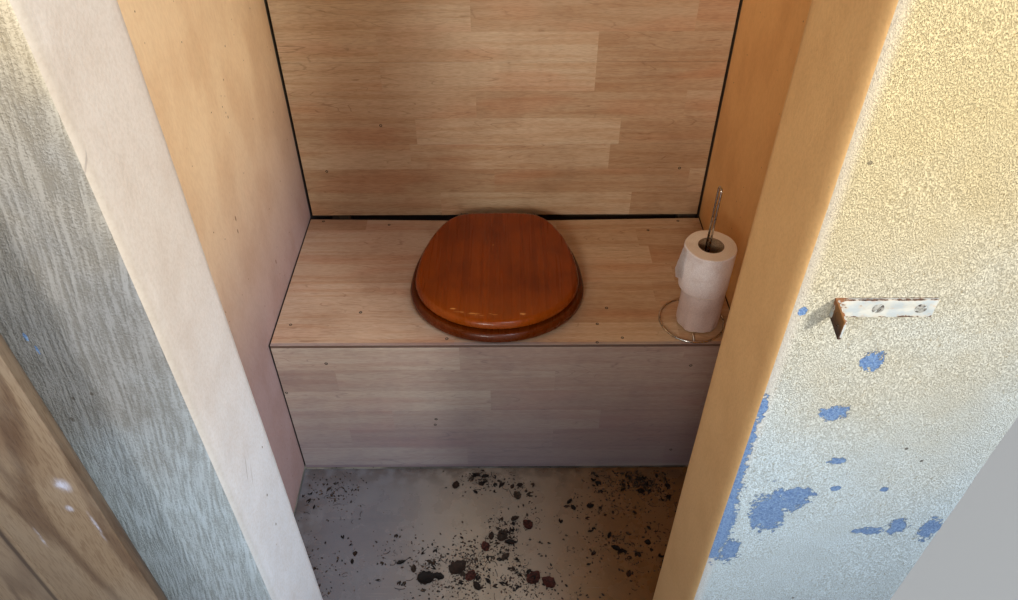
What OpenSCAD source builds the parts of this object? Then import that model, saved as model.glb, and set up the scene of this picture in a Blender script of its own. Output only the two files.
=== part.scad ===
// Small outhouse: rendered walls, a ledged board door that opens outwards,
// a bench boxed in with laminate planks, a wooden seat with a lid, and a pent roof.
// The origin is on the ground at the middle of the footprint. X runs to the right as seen
// from the doorway, Y into the building and Z up.

/* [Room] */
// Width of the room between the side walls
room_w = 942; // [800:1:1300]
// Depth of the free floor in front of the bench
floor_d = 409; // [300:1:900]
// Height of the front wall above the doorway, at its outer edge
head_h = 250; // [170:1:500]
// Thickness of the two side walls
side_wall_t = 70; // [60:1:200]
// Thickness of the front wall
front_wall_t = 145; // [80:1:250]
// Thickness of the back wall
back_wall_t = 70; // [60:1:200]
// Height of the floor slab above the ground
slab_h = 97; // [60:1:200]
// Thickness of the floor covering
sheet_t = 3; // [2:0.5:8]

/* [Doorway] */
// Clear width of the doorway
doorway_w = 577; // [500:1:700]
// Middle of the doorway, measured from the middle of the room
doorway_x = -32; // [-60:1:20]
// Clear height of the doorway above the floor
doorway_h = 1850; // [1700:1:1900]

/* [Laminate planks] */
// Width of one laminate plank
plank_w = 193; // [120:1:250]
// Thickness of a plank
plank_t = 8; // [6:0.5:14]
// Thickness and length of the tongue along a plank
tongue_t = 2.4; // [1.5:0.1:3]
tongue_l = 3; // [2:0.1:5]
// Play between two joined planks
plank_play = 0.3; // [0.2:0.05:1]
// Gap between the back lining and each side wall
lining_gap = 5; // [1:0.5:10]
// How far above the bench top the back lining starts
lining_rise = 3; // [1:0.5:10]
// Number of planks in the back lining
lining_planks = 8; // [3:1:8]
// Thickness and width of the battens behind the back lining
batten_t = 22; // [15:1:50]
batten_w = 45; // [30:1:80]

/* [Bench] */
// Height of the bench top above the floor
bench_h = 410; // [350:1:520]
// Depth of the bench from its front face to the back lining
bench_d = 439; // [430:1:560]
// Width of the front plank of the bench top
top_front_w = 191; // [150:1:193]
// Gap behind the bench top at its corners and at its middle
top_gap_corner = 11; // [3:0.5:14]
top_gap_middle = 21; // [15:0.5:25]
// Gap between the bench planks and each side wall
bench_gap = 2; // [1:0.5:6]
// Thickness of the load-bearing deck under the planks
deck_t = 19; // [15:1:30]
// Thickness of the frame timbers under the bench, and height of its rails
frame_t = 45; // [30:1:60]
frame_h = 60; // [40:1:90]
// Gap under the lower front plank
foot_gap = 6; // [2:0.5:15]
// Width and length of the hole through the bench under the seat
hole_w = 230; // [200:1:250]
hole_l = 290; // [260:1:320]
// Width and depth of the pit opening through the slab
pit_w = 420; // [300:1:600]
pit_d = 300; // [200:1:340]

/* [Seat] */
// Middle of the seat, measured from the middle of the room
seat_x = -17; // [-60:1:60]
// How far the ring reaches out over the bench front
ring_out = 2.5; // [0:0.5:10]
// Width of the ring, and its length up to the straight back edge
ring_w = 367; // [330:1:390]
ring_l = 392; // [370:1:400]
// Length of the rounded front part, up to the widest place
ring_nose = 160; // [130:1:180]
// Thickness of the ring
ring_t = 22; // [18:0.5:30]
// Width and length of the opening in the ring
mouth_w = 209; // [180:1:220]
mouth_l = 255; // [220:1:270]
// Width of the ring at its front
ring_front = 73; // [60:1:90]
// How much smaller the lid is than the ring, all round
lid_in = 12; // [5:0.5:20]
// Thickness of the lid
lid_t = 18; // [14:0.5:25]
// Height of the rubber pads under the ring and under the lid
ring_pad_h = 5; // [3:0.5:10]
lid_pad_h = 4; // [3.5:0.5:10]
// Diameter of the pads
pad_dia = 22; // [12:1:30]
// Rounding of the upper edges of the lid and of the ring
lid_round = 12; // [6:0.5:13]
ring_round = 10; // [5:0.5:11]

/* [Seat hinge] */
// Diameter of the hinge pin
pin_dia = 8; // [6:0.5:10]
// Height of the pin above the bench top
pin_h = 23; // [22:0.5:30]
// Distance of the pin behind the back edge of the lid
pin_back = 16; // [15:0.5:22]
// Distance between the two hinge posts
post_pitch = 112; // [90:1:150]
// Diameter of a post, and of its foot
post_dia = 14; // [13:0.5:18]
post_foot_dia = 24; // [20:1:28]
// Width and thickness of the hinge straps
seat_strap_w = 18; // [14:1:26]
seat_strap_t = 3; // [2:0.5:3]

/* [Paper stand] */
// Middle of the stand, measured from the right wall and from the bench front
stand_side = 89; // [75:1:200]
stand_in = 67; // [67:1:300]
// Diameter of the wire ring, of its wire, and height of the loop
stand_dia = 130; // [100:1:136]
stand_wire = 4; // [3:0.5:6]
stand_h = 325; // [230:1:360]
// Width of the loop between the middles of its wires
stand_loop_w = 14; // [10:1:30]
// Diameters of the upper and of the lower roll, and of the core
roll_dia = 99; // [80:1:120]
roll_low_dia = 86; // [60:1:120]
roll_core = 46; // [36:1:50]
// Height of a roll
roll_h = 95; // [80:1:110]
// How far the upper and the lower roll hang off the middle of the stand
roll_off = 6; // [0:1:10]
roll_low_off = 11; // [0:1:11]

/* [Door] */
// Angle that the door stands open in the modelled pose
door_open = 180; // [0:1:180]
// How far the leaf reaches past the doorway on the hinge side and on the latch side
lap_hinge = 74; // [60:1:110]
lap_latch = 30; // [15:1:30]
// How far it reaches past the doorway at the top, and below the floor at the foot
lap_top = 32; // [10:1:60]
lap_foot = 38; // [10:1:80]
// Thickness of the boards
board_t = 22; // [18:0.5:32]
// Number of boards across the leaf
board_n = 7; // [5:1:8]
// Width of the board at the hinge edge
first_board_w = 116; // [80:1:130]
// Size of the V along the joints of the boards
board_vee = 3; // [1:0.5:5]
// Gap between the closed leaf and the wall
leaf_gap = 3; // [2:0.5:8]
// Width and thickness of the ledges
ledge_w = 110; // [80:1:150]
ledge_t = 24; // [18:1:35]
// Gap between the ends of the ledges and the sides of the doorway
ledge_gap = 12; // [8:1:30]
// Distance of the middle of the end ledges from the foot and from the top of the leaf
ledge_end = 240; // [150:1:340]
// Height of the middle ledge above the latch
ledge_up = 18; // [-40:1:60]

/* [Door hinges] */
// Distance of the hinge pins from the hinge edge of the leaf
hinge_side = 12; // [12:0.5:18]
// Diameter of the hinge pins
hook_dia = 12; // [10:0.5:14]
// Length of a strap and its thickness
strap_l = 420; // [300:1:560]
strap_t = 4; // [3:0.5:6]
// Width of a strap at the pin and at its tip
strap_w = 45; // [36:1:60]
strap_tip_w = 26; // [18:1:34]
// Width, height and thickness of the plate that holds a pin on the wall
hook_plate_w = 50; // [36:1:60]
hook_plate_h = 130; // [100:1:180]
hook_plate_t = 5; // [4:0.5:8]

/* [Latch] */
// Height of the latch bolt above the floor
latch_h = 1014; // [900:1:1100]
// Length of the keeper along the wall, and its height
keeper_l = 92; // [70:1:120]
keeper_h = 21; // [16:1:30]
// How far the keeper stands out from the wall
keeper_out = 26; // [22:1:34]
// Thickness of the keeper
keeper_t = 3; // [2:0.5:4]
// Distance of the keeper from the side of the doorway
keeper_side = 38.5; // [36:0.5:60]
// Diameter of the latch bolt
latch_dia = 9; // [6:0.5:10]
// Length and height of the door pull
pull_l = 150; // [110:1:200]
pull_out = 40; // [34:1:60]
// Diameter of the bar of the pull
pull_dia = 10; // [8:0.5:14]

/* [Roof] */
// Slope of the roof down to the back, in degrees
roof_slope = 8; // [5:0.5:9]
// Overhang of the roof at the front, at the back and at the sides
over_front = 110; // [60:1:140]
over_back = 80; // [40:1:140]
over_side = 80; // [30:1:140]
// Width and height of a rafter
rafter_w = 45; // [40:1:60]
rafter_h = 70; // [60:1:120]
// Number of rafters
rafter_n = 4; // [3:1:6]
// Width and thickness of the roof boards, and the gap between them
roof_board_w = 130; // [100:1:180]
roof_board_t = 18; // [15:1:25]
roof_board_gap = 3; // [1:0.5:8]
// Pitch, depth and thickness of the corrugated sheet
wave_pitch = 76; // [60:1:120]
wave_h = 18; // [12:1:30]
wave_t = 1; // [0.8:0.1:2]
// How far the sheet runs past the roof boards at the front and the back
sheet_out = 40; // [20:1:60]
// Thickness of the fascia and barge boards
trim_t = 20; // [15:1:28]
// How far the trim reaches down below the roof boards
trim_drop = 90; // [75:1:110]

/* [Hidden] */
$fn = 48;
touch = 0.01;
play = 0.3;
roof_bed = 0.05;

// Plan of the building
room_x = room_w / 2;
outer_x = room_x + side_wall_t;
depth = front_wall_t + floor_d + bench_d + plank_t + batten_t + back_wall_t;
front_y = -depth / 2;
room_y = front_y + front_wall_t;
bench_y = room_y + floor_d;
lining_y = bench_y + bench_d;
batten_y = lining_y + plank_t;
wall_y = batten_y + batten_t;
back_y = wall_y + back_wall_t;
door_left = doorway_x - doorway_w / 2;
door_right = doorway_x + doorway_w / 2;

// Heights
floor_z = slab_h + sheet_t;
bench_z = floor_z + bench_h;
door_top = floor_z + doorway_h;
wall_h = door_top + head_h;
deck_z = bench_z - plank_t - deck_t;
function wall_top(y) = wall_h - roof_bed - (y - front_y) * tan(roof_slope);
lining_z = bench_z + lining_rise;
lining_top = min(lining_z + lining_planks * plank_w, wall_top(wall_y) - 30);

// Places on the bench
bench_x = room_x - bench_gap;
top_front_y = bench_y + top_front_w;
top_back_y = top_front_y + plank_w;
deck_back_y = lining_y - top_gap_middle;
ring_front_y = bench_y - ring_out;
seat_y = ring_front_y + ring_nose;
ring_back = ring_l - ring_nose;
mouth_y = ring_front_y + ring_front + mouth_l / 2;
pit_y = mouth_y;
pin_y = ring_front_y + ring_l + pin_back;
ring_z = bench_z + ring_pad_h;
lid_z = ring_z + ring_t + lid_pad_h;
pin_z = bench_z + pin_h;
eye_r = pin_dia / 2 + play + seat_strap_t;
strap_play = 1.5;
ring_strap_x = post_pitch / 2 + post_foot_dia / 2 + seat_strap_w / 2 + strap_play;
lid_strap_x = post_pitch / 2 - post_dia / 2 - seat_strap_w / 2 - strap_play;

stand_x = room_x - stand_side;
stand_y = bench_y + stand_in;

// Places on the door, closed
leaf_z = floor_z - lap_foot;
leaf_top = door_top + lap_top;
leaf_right = door_right + lap_latch;
leaf_left = door_left - lap_hinge;
latch_z = floor_z + latch_h;
hinge_heights = [leaf_z + ledge_end, leaf_top - ledge_end];
ledge_heights = [hinge_heights[0], latch_z + ledge_up, hinge_heights[1]];
leaf_in_y = front_y - leaf_gap;
leaf_out_y = leaf_in_y - board_t;
board_w = (leaf_right - leaf_left - first_board_w) / (board_n - 1);
hook_off = strap_t + hook_dia / 2 + play - 1.8;
hinge_x = leaf_left - hinge_side;
hinge_y = leaf_out_y - hook_off;
strap_eye_r = hook_dia / 2 + play + strap_t;
keeper_x = door_right + keeper_side;
latch_y = leaf_in_y - board_t / 2;
pull_x = leaf_right - board_w * 0.6;

// Roof, in its own tilted frame
slope_l = depth / cos(roof_slope);
deck_w = 2 * (outer_x + over_side);

// Outline of a plank across its width, with a groove at 0 and a tongue at w
module plank_outline(w, tongue = true, groove = true) {
    mid = plank_t / 2;
    difference() {
        union() {
            translate([plank_play / 2, 0]) square([w - plank_play, plank_t]);
            if (tongue)
                translate([w - plank_play, mid - tongue_t / 2]) square([tongue_l, tongue_t]);
        }
        if (groove)
            translate([0, mid - tongue_t / 2 - plank_play / 2])
                square([tongue_l + plank_play, tongue_t + plank_play]);
    }
}

// An outline in Y and Z drawn out along X from x0 to x1
module along_x(x0, x1) {
    translate([x0, 0, 0]) rotate([90, 0, 90]) linear_extrude(x1 - x0) children();
}

// A wall from x0 to x1 and y0 to y1 that stands at z0 and follows the roof at its top
module wall(x0, x1, y0, y1, z0) {
    along_x(x0, x1)
        polygon([[y0, z0], [y1, z0], [y1, wall_top(y1)], [y0, wall_top(y0)]]);
}

// A box from one corner to the opposite one
module block(low, high) {
    translate(low) cube(high - low);
}

module base_slab() {
    color("darkgray") difference() {
        block([-outer_x, front_y, 0], [outer_x, back_y, slab_h]);
        translate([seat_x - pit_w / 2, pit_y - pit_d / 2, -1]) cube([pit_w, pit_d, slab_h + 2]);
    }
}

module floor_sheet() {
    color("tan") block([-room_x, room_y, slab_h], [room_x, bench_y, floor_z]);
}

module side_wall(x0) {
    color("peachpuff") wall(x0, x0 + side_wall_t, room_y, wall_y, slab_h);
}

module back_wall() {
    color("peachpuff") wall(-outer_x, outer_x, wall_y, back_y, slab_h);
}

module front_wall_side(x0, x1) {
    color("wheat") wall(x0, x1, front_y, room_y, slab_h);
}

module front_wall_top() {
    color("wheat") wall(door_left, door_right, front_y, room_y, door_top);
}

module back_battens() {
    reach = room_x - lining_gap - batten_w;
    color("burlywood") for (x = [-reach, -batten_w / 2, reach])
        block([x, batten_y, slab_h], [x + batten_w, wall_y, lining_top]);
}

module back_planks() {
    reach = room_x - lining_gap;
    color("burlywood") for (i = [0 : lining_planks - 1]) let (z = lining_z + i * plank_w)
        along_x(-reach, reach) translate([lining_y, z]) mirror([1, -1])
            plank_outline(min(plank_w, lining_top - z), tongue = i < lining_planks - 1, groove = i > 0);
}

// Hole through the bench: two round ends joined by straight sides
module seat_hole() {
    run = hole_l - hole_w;
    translate([seat_x, mouth_y, deck_z - 1]) {
        for (y = [-run / 2, run / 2])
            translate([0, y, 0]) cylinder(d = hole_w, h = deck_t + plank_t + 2, $fn = 96);
        translate([-hole_w / 2, -run / 2, 0]) cube([hole_w, run, deck_t + plank_t + 2]);
    }
}

// Timber frame under the bench: a ring of rails on four legs
module bench_frame() {
    y0 = bench_y + plank_t;
    rail_z = deck_z - frame_h;
    color("burlywood") {
        difference() {
            block([-room_x, y0, rail_z], [room_x, batten_y, deck_z]);
            block([-room_x + frame_t, y0 + frame_t, rail_z - 1],
                  [room_x - frame_t, batten_y - frame_t, deck_z + 1]);
        }
        for (x = [-room_x, room_x - frame_t], y = [y0, batten_y - frame_t])
            block([x, y, slab_h], [x + frame_t, y + frame_t, rail_z + touch]);
    }
}

module bench_deck() {
    color("burlywood") difference() {
        block([-room_x, bench_y + plank_t, deck_z], [room_x, deck_back_y, deck_z + deck_t]);
        seat_hole();
    }
}

module bench_top_front() {
    color("bisque") difference() {
        along_x(-bench_x, bench_x) translate([bench_y, bench_z - plank_t])
            plank_outline(top_front_w, groove = false);
        seat_hole();
    }
}

module bench_top_middle() {
    color("bisque") difference() {
        along_x(-bench_x, bench_x) translate([top_front_y, bench_z - plank_t])
            plank_outline(plank_w);
        seat_hole();
    }
}

// The plank at the back is cut a little hollow, so a dark wedge is left behind it
module bench_top_back() {
    y1 = lining_y - top_gap_corner;
    color("bisque") intersection() {
        along_x(-bench_x, bench_x) translate([top_back_y, bench_z - plank_t])
            plank_outline(y1 - top_back_y, tongue = false);
        translate([0, 0, bench_z - 2 * plank_t]) linear_extrude(3 * plank_t)
            polygon([[-room_x - 1, top_back_y - 1], [room_x + 1, top_back_y - 1],
                     [room_x + 1, y1], [0, lining_y - top_gap_middle], [-room_x - 1, y1]]);
    }
}

module bench_front(z0, z1, tongue, groove) {
    color("bisque") along_x(-bench_x, bench_x)
        translate([bench_y, z0]) mirror([1, -1])
            plank_outline(z1 - z0, tongue, groove);
}

// Radius at angle a of an egg with half width hw, reaching front and back along Y and cut
// off straight at cut, with rounded corners there
function egg(a, hw, front, back, cut) =
    let (reach = sin(a) < 0 ? front : back,
         oval = 1 / norm([cos(a) / hw, sin(a) / reach]),
         line = pow(pow(cut, -egg_corner) - pow(back, -egg_corner), -1 / egg_corner),
         edge = sin(a) > 0.05 ? line / sin(a) : 10000)
    pow(pow(oval, -egg_corner) + pow(edge, -egg_corner), -1 / egg_corner);
egg_corner = 16;
egg_steps = 72;
function ring_edge(a) = egg(a, ring_w / 2, ring_nose, ring_back * 1.09, ring_back);
function lid_edge(a) =
    egg(a, ring_w / 2 - lid_in, ring_nose - lid_in, ring_back * 1.09, ring_back);
function mouth_edge(a) = 1 / norm([cos(a) / (mouth_w / 2), sin(a) / (mouth_l / 2)]);

// Inset and height along a rounded edge from angle a0 to a1, in steps
function round_edge(r, z, a0, a1, steps) =
    [for (i = [0 : steps]) let (a = a0 + (a1 - a0) * i / steps) [r - r * cos(a), z + r * sin(a)]];

// Faces that join rings of n points into a skin
function skin(rings, n, closed = false) =
    [for (k = [0 : rings - (closed ? 1 : 2)], i = [0 : n - 1])
        let (m = (k + 1) % rings, j = (i + 1) % n)
        [k * n + i, k * n + j, m * n + j, m * n + i]];

module seat_ring() {
    low = 6;
    outer = concat(round_edge(low, low, -90, 0, 3),
                   round_edge(ring_round, ring_t - ring_round, 0, 90, 5));
    inner = concat(round_edge(ring_round, ring_t - ring_round, 90, 0, 4),
                   round_edge(low, low, 0, -90, 2));
    steps = [for (i = [0 : egg_steps - 1]) 360 * i / egg_steps];
    shift = [0, mouth_y - seat_y];
    pts = [
        for (a = steps) concat(
            [for (e = outer) let (r = ring_edge(a) - e[0]) [r * cos(a), r * sin(a), e[1]]],
            [for (e = inner) let (r = mouth_edge(a) + e[0])
                [r * cos(a), r * sin(a) + shift[1], e[1]]])
    ];
    n = len(outer) + len(inner);
    color("sienna") translate([seat_x, seat_y, ring_z])
        polyhedron([for (ring = pts) each ring], skin(egg_steps, n, closed = true), convexity = 6);
}

module seat_lid() {
    low = 4;
    edge = concat(round_edge(low, low, -90, 0, 2), round_edge(lid_round, lid_t - lid_round, 0, 90, 5));
    steps = [for (i = [0 : egg_steps - 1]) -360 * i / egg_steps];
    pts = [for (e = edge) [for (a = steps) let (r = lid_edge(a) - e[0]) [r * cos(a), r * sin(a), e[1]]]];
    last = (len(edge) - 1) * egg_steps;
    color("sienna") translate([seat_x, seat_y, lid_z])
        polyhedron([for (ring = pts) each ring],
                   concat([[for (i = [egg_steps - 1 : -1 : 0]) i]], skin(len(edge), egg_steps),
                          [[for (i = [0 : egg_steps - 1]) last + i]]), convexity = 4);
}

// Places of the rubber pads round the seat: angle of each
pad_angles = [35, 145, 215, 325];
function pad_at(a) = let (r = (lid_edge(a) + mouth_edge(a)) / 2)
    [seat_x + r * cos(a), seat_y + (mouth_y - seat_y) / 2 + r * sin(a)];

module pads(z, h) {
    color("dimgray") for (a = pad_angles)
        translate([pad_at(a)[0], pad_at(a)[1], z]) cylinder(d = pad_dia, h = h);
}

// Both hinge straps of one seat piece, each drawn as an outline round the pin
module seat_straps(offset_x) {
    for (s = [-1, 1])
        along_x(seat_x + s * offset_x - seat_strap_w / 2, seat_x + s * offset_x + seat_strap_w / 2)
            difference() {
                union() {
                    translate([pin_y, pin_z]) circle(eye_r);
                    children();
                }
                translate([pin_y, pin_z]) circle(pin_dia / 2 + play);
            }
}

// The straps of the ring pass under it and rise to the pin behind it
module ring_hinge_straps() {
    z0 = ring_z - seat_strap_t;
    y1 = pin_y - eye_r + seat_strap_t;
    color("silver") seat_straps(ring_strap_x) {
        translate([pin_y - 75, z0]) square([75 - eye_r + seat_strap_t, seat_strap_t]);
        translate([y1 - seat_strap_t, z0]) square([seat_strap_t, pin_z - z0]);
    }
}

// The straps of the lid lie flat under it
module lid_hinge_straps() {
    z1 = lid_z;
    color("silver") seat_straps(lid_strap_x)
        translate([pin_y - 75, z1 - seat_strap_t]) square([75, seat_strap_t]);
}

module seat_hinge_posts() {
    color("silver") for (s = [-1, 1]) translate([seat_x + s * post_pitch / 2, pin_y, bench_z])
        difference() {
            union() {
                cylinder(d = post_foot_dia, h = 4);
                cylinder(d = post_dia, h = pin_h);
                translate([0, 0, pin_h]) sphere(d = post_dia);
            }
            translate([-post_dia, 0, pin_h]) rotate([0, 90, 0]) cylinder(d = pin_dia, h = 2 * post_dia);
        }
}

module seat_hinge_pin() {
    l = 2 * ring_strap_x + seat_strap_w + 2 * pin_dia;
    color("silver") translate([seat_x - l / 2, pin_y, pin_z]) rotate([0, 90, 0]) cylinder(d = pin_dia, h = l);
}

// Wire stand for the paper: a ring with two spokes across it and a tall loop in the middle
module roll_stand() {
    wire_z = bench_z + stand_wire / 2;
    side = stand_loop_w / 2;
    color("silver") translate([stand_x, stand_y, wire_z]) {
        rotate_extrude() translate([stand_dia / 2, 0]) circle(d = stand_wire, $fn = 24);
        for (a = [0, 90]) rotate([90, 0, a]) cylinder(d = stand_wire, h = stand_dia, center = true, $fn = 24);
        for (x = [-side, side]) translate([x, 0, 0])
            cylinder(d = stand_wire, h = stand_h - side - stand_wire, $fn = 24);
        translate([0, 0, stand_h - side - stand_wire]) rotate([90, 0, 0]) rotate_extrude(angle = 180)
            translate([side, 0]) circle(d = stand_wire, $fn = 24);
    }
}

// Two rolls of paper on the stand, one above the other
module paper_rolls() {
    z0 = bench_z + stand_wire + play;
    offs = [roll_low_off, roll_off];
    dias = [roll_low_dia, roll_dia];
    color("whitesmoke") for (i = [0, 1])
        translate([stand_x + offs[i], stand_y, z0 + i * (roll_h + play)]) difference() {
            cylinder(d = dias[i], h = roll_h, $fn = 96);
            translate([0, 0, -1]) cylinder(d = roll_core, h = roll_h + 2);
        }
}

// Angle bracket on the wall: the long leg is screwed on, the short leg takes the bolt
module keeper_bracket() {
    x = keeper_x;
    hole = latch_dia + 2;
    color("white") difference() {
        union() {
            block([x, front_y - keeper_t, latch_z - keeper_h / 2],
                  [x + keeper_l, front_y, latch_z + keeper_h / 2]);
            block([x, front_y - keeper_out, latch_z - keeper_h / 2],
                  [x + keeper_t, front_y - keeper_t + touch, latch_z + keeper_h / 2]);
        }
        translate([x - 1, latch_y, latch_z]) rotate([0, 90, 0]) cylinder(d = hole, h = keeper_t + 2);
        for (dx = [0.44, 0.86]) translate([x + keeper_l * dx, front_y + 1, latch_z])
            rotate([90, 0, 0]) cylinder(d = 4.5, h = keeper_t + 2, $fn = 24);
    }
}

// Hooks that carry the door: a plate on the wall, an arm and an upright pin
module hinge_hooks() {
    arm = hook_dia + 2;
    x1 = hinge_x + arm / 2;
    color("dimgray") for (z = hinge_heights) let (eye_z = z - strap_w / 2) {
        block([x1 - hook_plate_w, front_y - hook_plate_t, z - hook_plate_h / 2],
              [x1, front_y, z + hook_plate_h / 2]);
        block([hinge_x - arm / 2, hinge_y, eye_z - arm - play],
              [x1, front_y - hook_plate_t + touch, eye_z - play]);
        translate([hinge_x, hinge_y, eye_z - arm - play]) cylinder(d = arm, h = arm);
        translate([hinge_x, hinge_y, eye_z - arm]) cylinder(d = hook_dia, h = arm + strap_w + 6);
    }
}

// Everything on the door is drawn closed and turned about the hinge pins
module on_leaf() {
    translate([hinge_x, hinge_y, 0]) rotate([0, 0, -door_open])
        translate([-hinge_x, -hinge_y, 0]) children();
}

// Outline of a door board across its width: a V along both visible edges, a groove on the
// hinge side and a tongue on the latch side
module board_outline(w, first, last) {
    v = board_vee;
    t = board_t;
    tt = t / 3;
    l0 = first ? 0 : play / 2;
    r0 = last ? w : w - play / 2;
    difference() {
        union() {
            polygon([[l0, first ? 0 : v], [first ? 0 : l0 + v, 0], [last ? r0 : r0 - v, 0],
                     [r0, last ? 0 : v], [r0, last ? t : t - v], [last ? r0 : r0 - v, t],
                     [first ? 0 : l0 + v, t], [l0, first ? t : t - v]]);
            if (!last) translate([w - play, tt]) square([6, tt]);
        }
        if (!first) translate([0, tt - play / 2]) square([6 + play, tt + play]);
    }
}

module door_board(i) {
    x = i == 1 ? leaf_left : leaf_left + first_board_w + (i - 2) * board_w;
    color("peru") on_leaf() difference() {
        translate([x, leaf_out_y, leaf_z]) linear_extrude(leaf_top - leaf_z)
            board_outline(i == 1 ? first_board_w : board_w, i == 1, i == board_n);
        if (i == board_n) {
            translate([leaf_right - 60, latch_y, latch_z]) rotate([0, 90, 0])
                cylinder(d = latch_dia + 1, h = 70);
            block([leaf_right - 2.5, latch_y - 8, latch_z - 32], [leaf_right + 1, latch_y + 8, latch_z + 32]);
        }
    }
}

module door_ledges() {
    color("peru") on_leaf() for (z = ledge_heights)
        block([door_left + ledge_gap, leaf_in_y, z - ledge_w / 2],
              [door_right - ledge_gap, leaf_in_y + ledge_t, z + ledge_w / 2]);
}

// Bands of the hinges: an eye round the pin and a strap that narrows to a round tip
module hinge_straps() {
    bore = hook_dia / 2 + play;
    color("dimgray") on_leaf() for (z = hinge_heights) difference() {
        union() {
            translate([hinge_x, hinge_y, z - strap_w / 2]) cylinder(r = strap_eye_r, h = strap_w);
            translate([0, leaf_out_y, z]) rotate([90, 0, 0]) linear_extrude(strap_t) {
                polygon([[hinge_x, -strap_w / 2], [hinge_x + 60, -strap_w / 2],
                         [hinge_x + strap_l, -strap_tip_w / 2], [hinge_x + strap_l, strap_tip_w / 2],
                         [hinge_x + 60, strap_w / 2], [hinge_x, strap_w / 2]]);
                translate([hinge_x + strap_l, 0]) circle(d = strap_tip_w);
            }
        }
        translate([hinge_x, hinge_y, z - strap_w / 2 - 1]) cylinder(r = bore, h = strap_w + 2);
    }
}

// Bolt let into the edge of the last board, with its face plate
module latch_bolt() {
    color("silver") on_leaf() {
        block([leaf_right - 2.5, latch_y - 7.8, latch_z - 31.8], [leaf_right - 0.5, latch_y + 7.8, latch_z + 31.8]);
        translate([leaf_right - 58, latch_y, latch_z]) rotate([0, 90, 0]) cylinder(d = latch_dia, h = 58);
    }
}

// Bow handle on the outer face
module door_pull() {
    z0 = latch_z + 60;
    y1 = leaf_out_y - pull_out + pull_dia / 2;
    color("dimgray") on_leaf() {
        for (z = [z0, z0 + pull_l]) translate([pull_x, leaf_out_y, z]) rotate([90, 0, 0]) {
            cylinder(d = 3 * pull_dia, h = 3);
            cylinder(d = pull_dia, h = pull_out - pull_dia / 2);
        }
        for (z = [z0, z0 + pull_l]) translate([pull_x, y1, z]) sphere(d = pull_dia);
        translate([pull_x, y1, z0]) cylinder(d = pull_dia, h = pull_l);
    }
}

// Frame of the roof: Y runs down the slope from the outer front edge of the walls
module on_roof() {
    translate([0, front_y, wall_h]) rotate([-roof_slope, 0, 0]) children();
}

module rafters() {
    step = (2 * outer_x - rafter_w) / (rafter_n - 1);
    color("burlywood") on_roof() for (i = [0 : rafter_n - 1])
        translate([-outer_x + i * step, -over_front, 0])
            cube([rafter_w, slope_l + over_front + over_back, rafter_h]);
}

module roof_boards() {
    run = slope_l + over_front + over_back;
    n = floor(run / (roof_board_w + roof_board_gap));
    step = (run + roof_board_gap) / n;
    color("burlywood") on_roof() for (i = [0 : n - 1])
        translate([-deck_w / 2, -over_front + i * step, rafter_h])
            cube([deck_w, step - roof_board_gap, roof_board_t]);
}

// Corrugated sheet: one wave after another, with its valleys on the roof boards
module roof_sheet() {
    w = deck_w + 2 * trim_t;
    n = ceil(w / wave_pitch) * 8;
    mid = (wave_h - wave_t) / 2;
    low = [for (i = [0 : n]) [-w / 2 + w * i / n, mid - mid * cos(360 * i / 8)]];
    high = [for (i = [n : -1 : 0]) [low[i][0], low[i][1] + wave_t]];
    run = slope_l + over_front + over_back + 2 * sheet_out + 2 * trim_t;
    color("lightslategray") on_roof()
        translate([0, -over_front - sheet_out - trim_t + run, rafter_h + roof_board_t])
            rotate([90, 0, 0]) linear_extrude(run) polygon(concat(low, high));
}

module fascia_boards() {
    run = slope_l + over_front + over_back;
    color("peru") on_roof() for (y = [-over_front - trim_t - play, -over_front + run + play])
        block([-deck_w / 2, y, rafter_h + roof_board_t - trim_drop],
              [deck_w / 2, y + trim_t, rafter_h + roof_board_t]);
}

module barge_boards() {
    run = slope_l + over_front + over_back;
    color("peru") on_roof() for (x = [-deck_w / 2 - trim_t - play, deck_w / 2 + play])
        block([x, -over_front - trim_t, rafter_h + roof_board_t - trim_drop],
              [x + trim_t, -over_front + run + trim_t, rafter_h + roof_board_t]);
}

front_top_z = bench_z - plank_t;
front_mid_z = front_top_z - plank_w;
front_low_z = floor_z + foot_gap;

base_slab();
floor_sheet();
side_wall(-outer_x);  // left_wall
side_wall(room_x);  // right_wall
back_wall();
front_wall_side(-outer_x, door_left);  // front_wall_left
front_wall_side(door_right, outer_x);  // front_wall_right
front_wall_top();
back_battens();
back_planks();
bench_frame();
bench_deck();
bench_top_front();
bench_top_middle();
bench_top_back();
bench_front(front_mid_z, front_top_z, false, true);  // bench_front_upper
bench_front(front_low_z, front_mid_z, true, false);  // bench_front_lower
seat_ring();
pads(bench_z, ring_pad_h);  // ring_pads
ring_hinge_straps();
seat_hinge_posts();
seat_hinge_pin();
seat_lid();
pads(lid_z - lid_pad_h + play, lid_pad_h - play);  // lid_pads
lid_hinge_straps();
roll_stand();
paper_rolls();
keeper_bracket();
hinge_hooks();
door_board(1);  // door_board_1
door_board(2);  // door_board_2
door_board(3);  // door_board_3
door_board(4);  // door_board_4
door_board(5);  // door_board_5
door_board(6);  // door_board_6
door_board(7);  // door_board_7
door_ledges();
hinge_straps();
latch_bolt();
door_pull();
rafters();
roof_boards();
roof_sheet();
fascia_boards();
barge_boards();
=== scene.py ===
# Small outhouse, in metres and in the frame of its CAD part: rendered walls round one room,
# a boarded door folded back against the front, a bench boxed in with laminate planks and a
# varnished seat on it, and a pent roof. X is to the right, Y into the building, Z up.
import math
import random

import bmesh
import bpy
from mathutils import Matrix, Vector, noise


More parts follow.
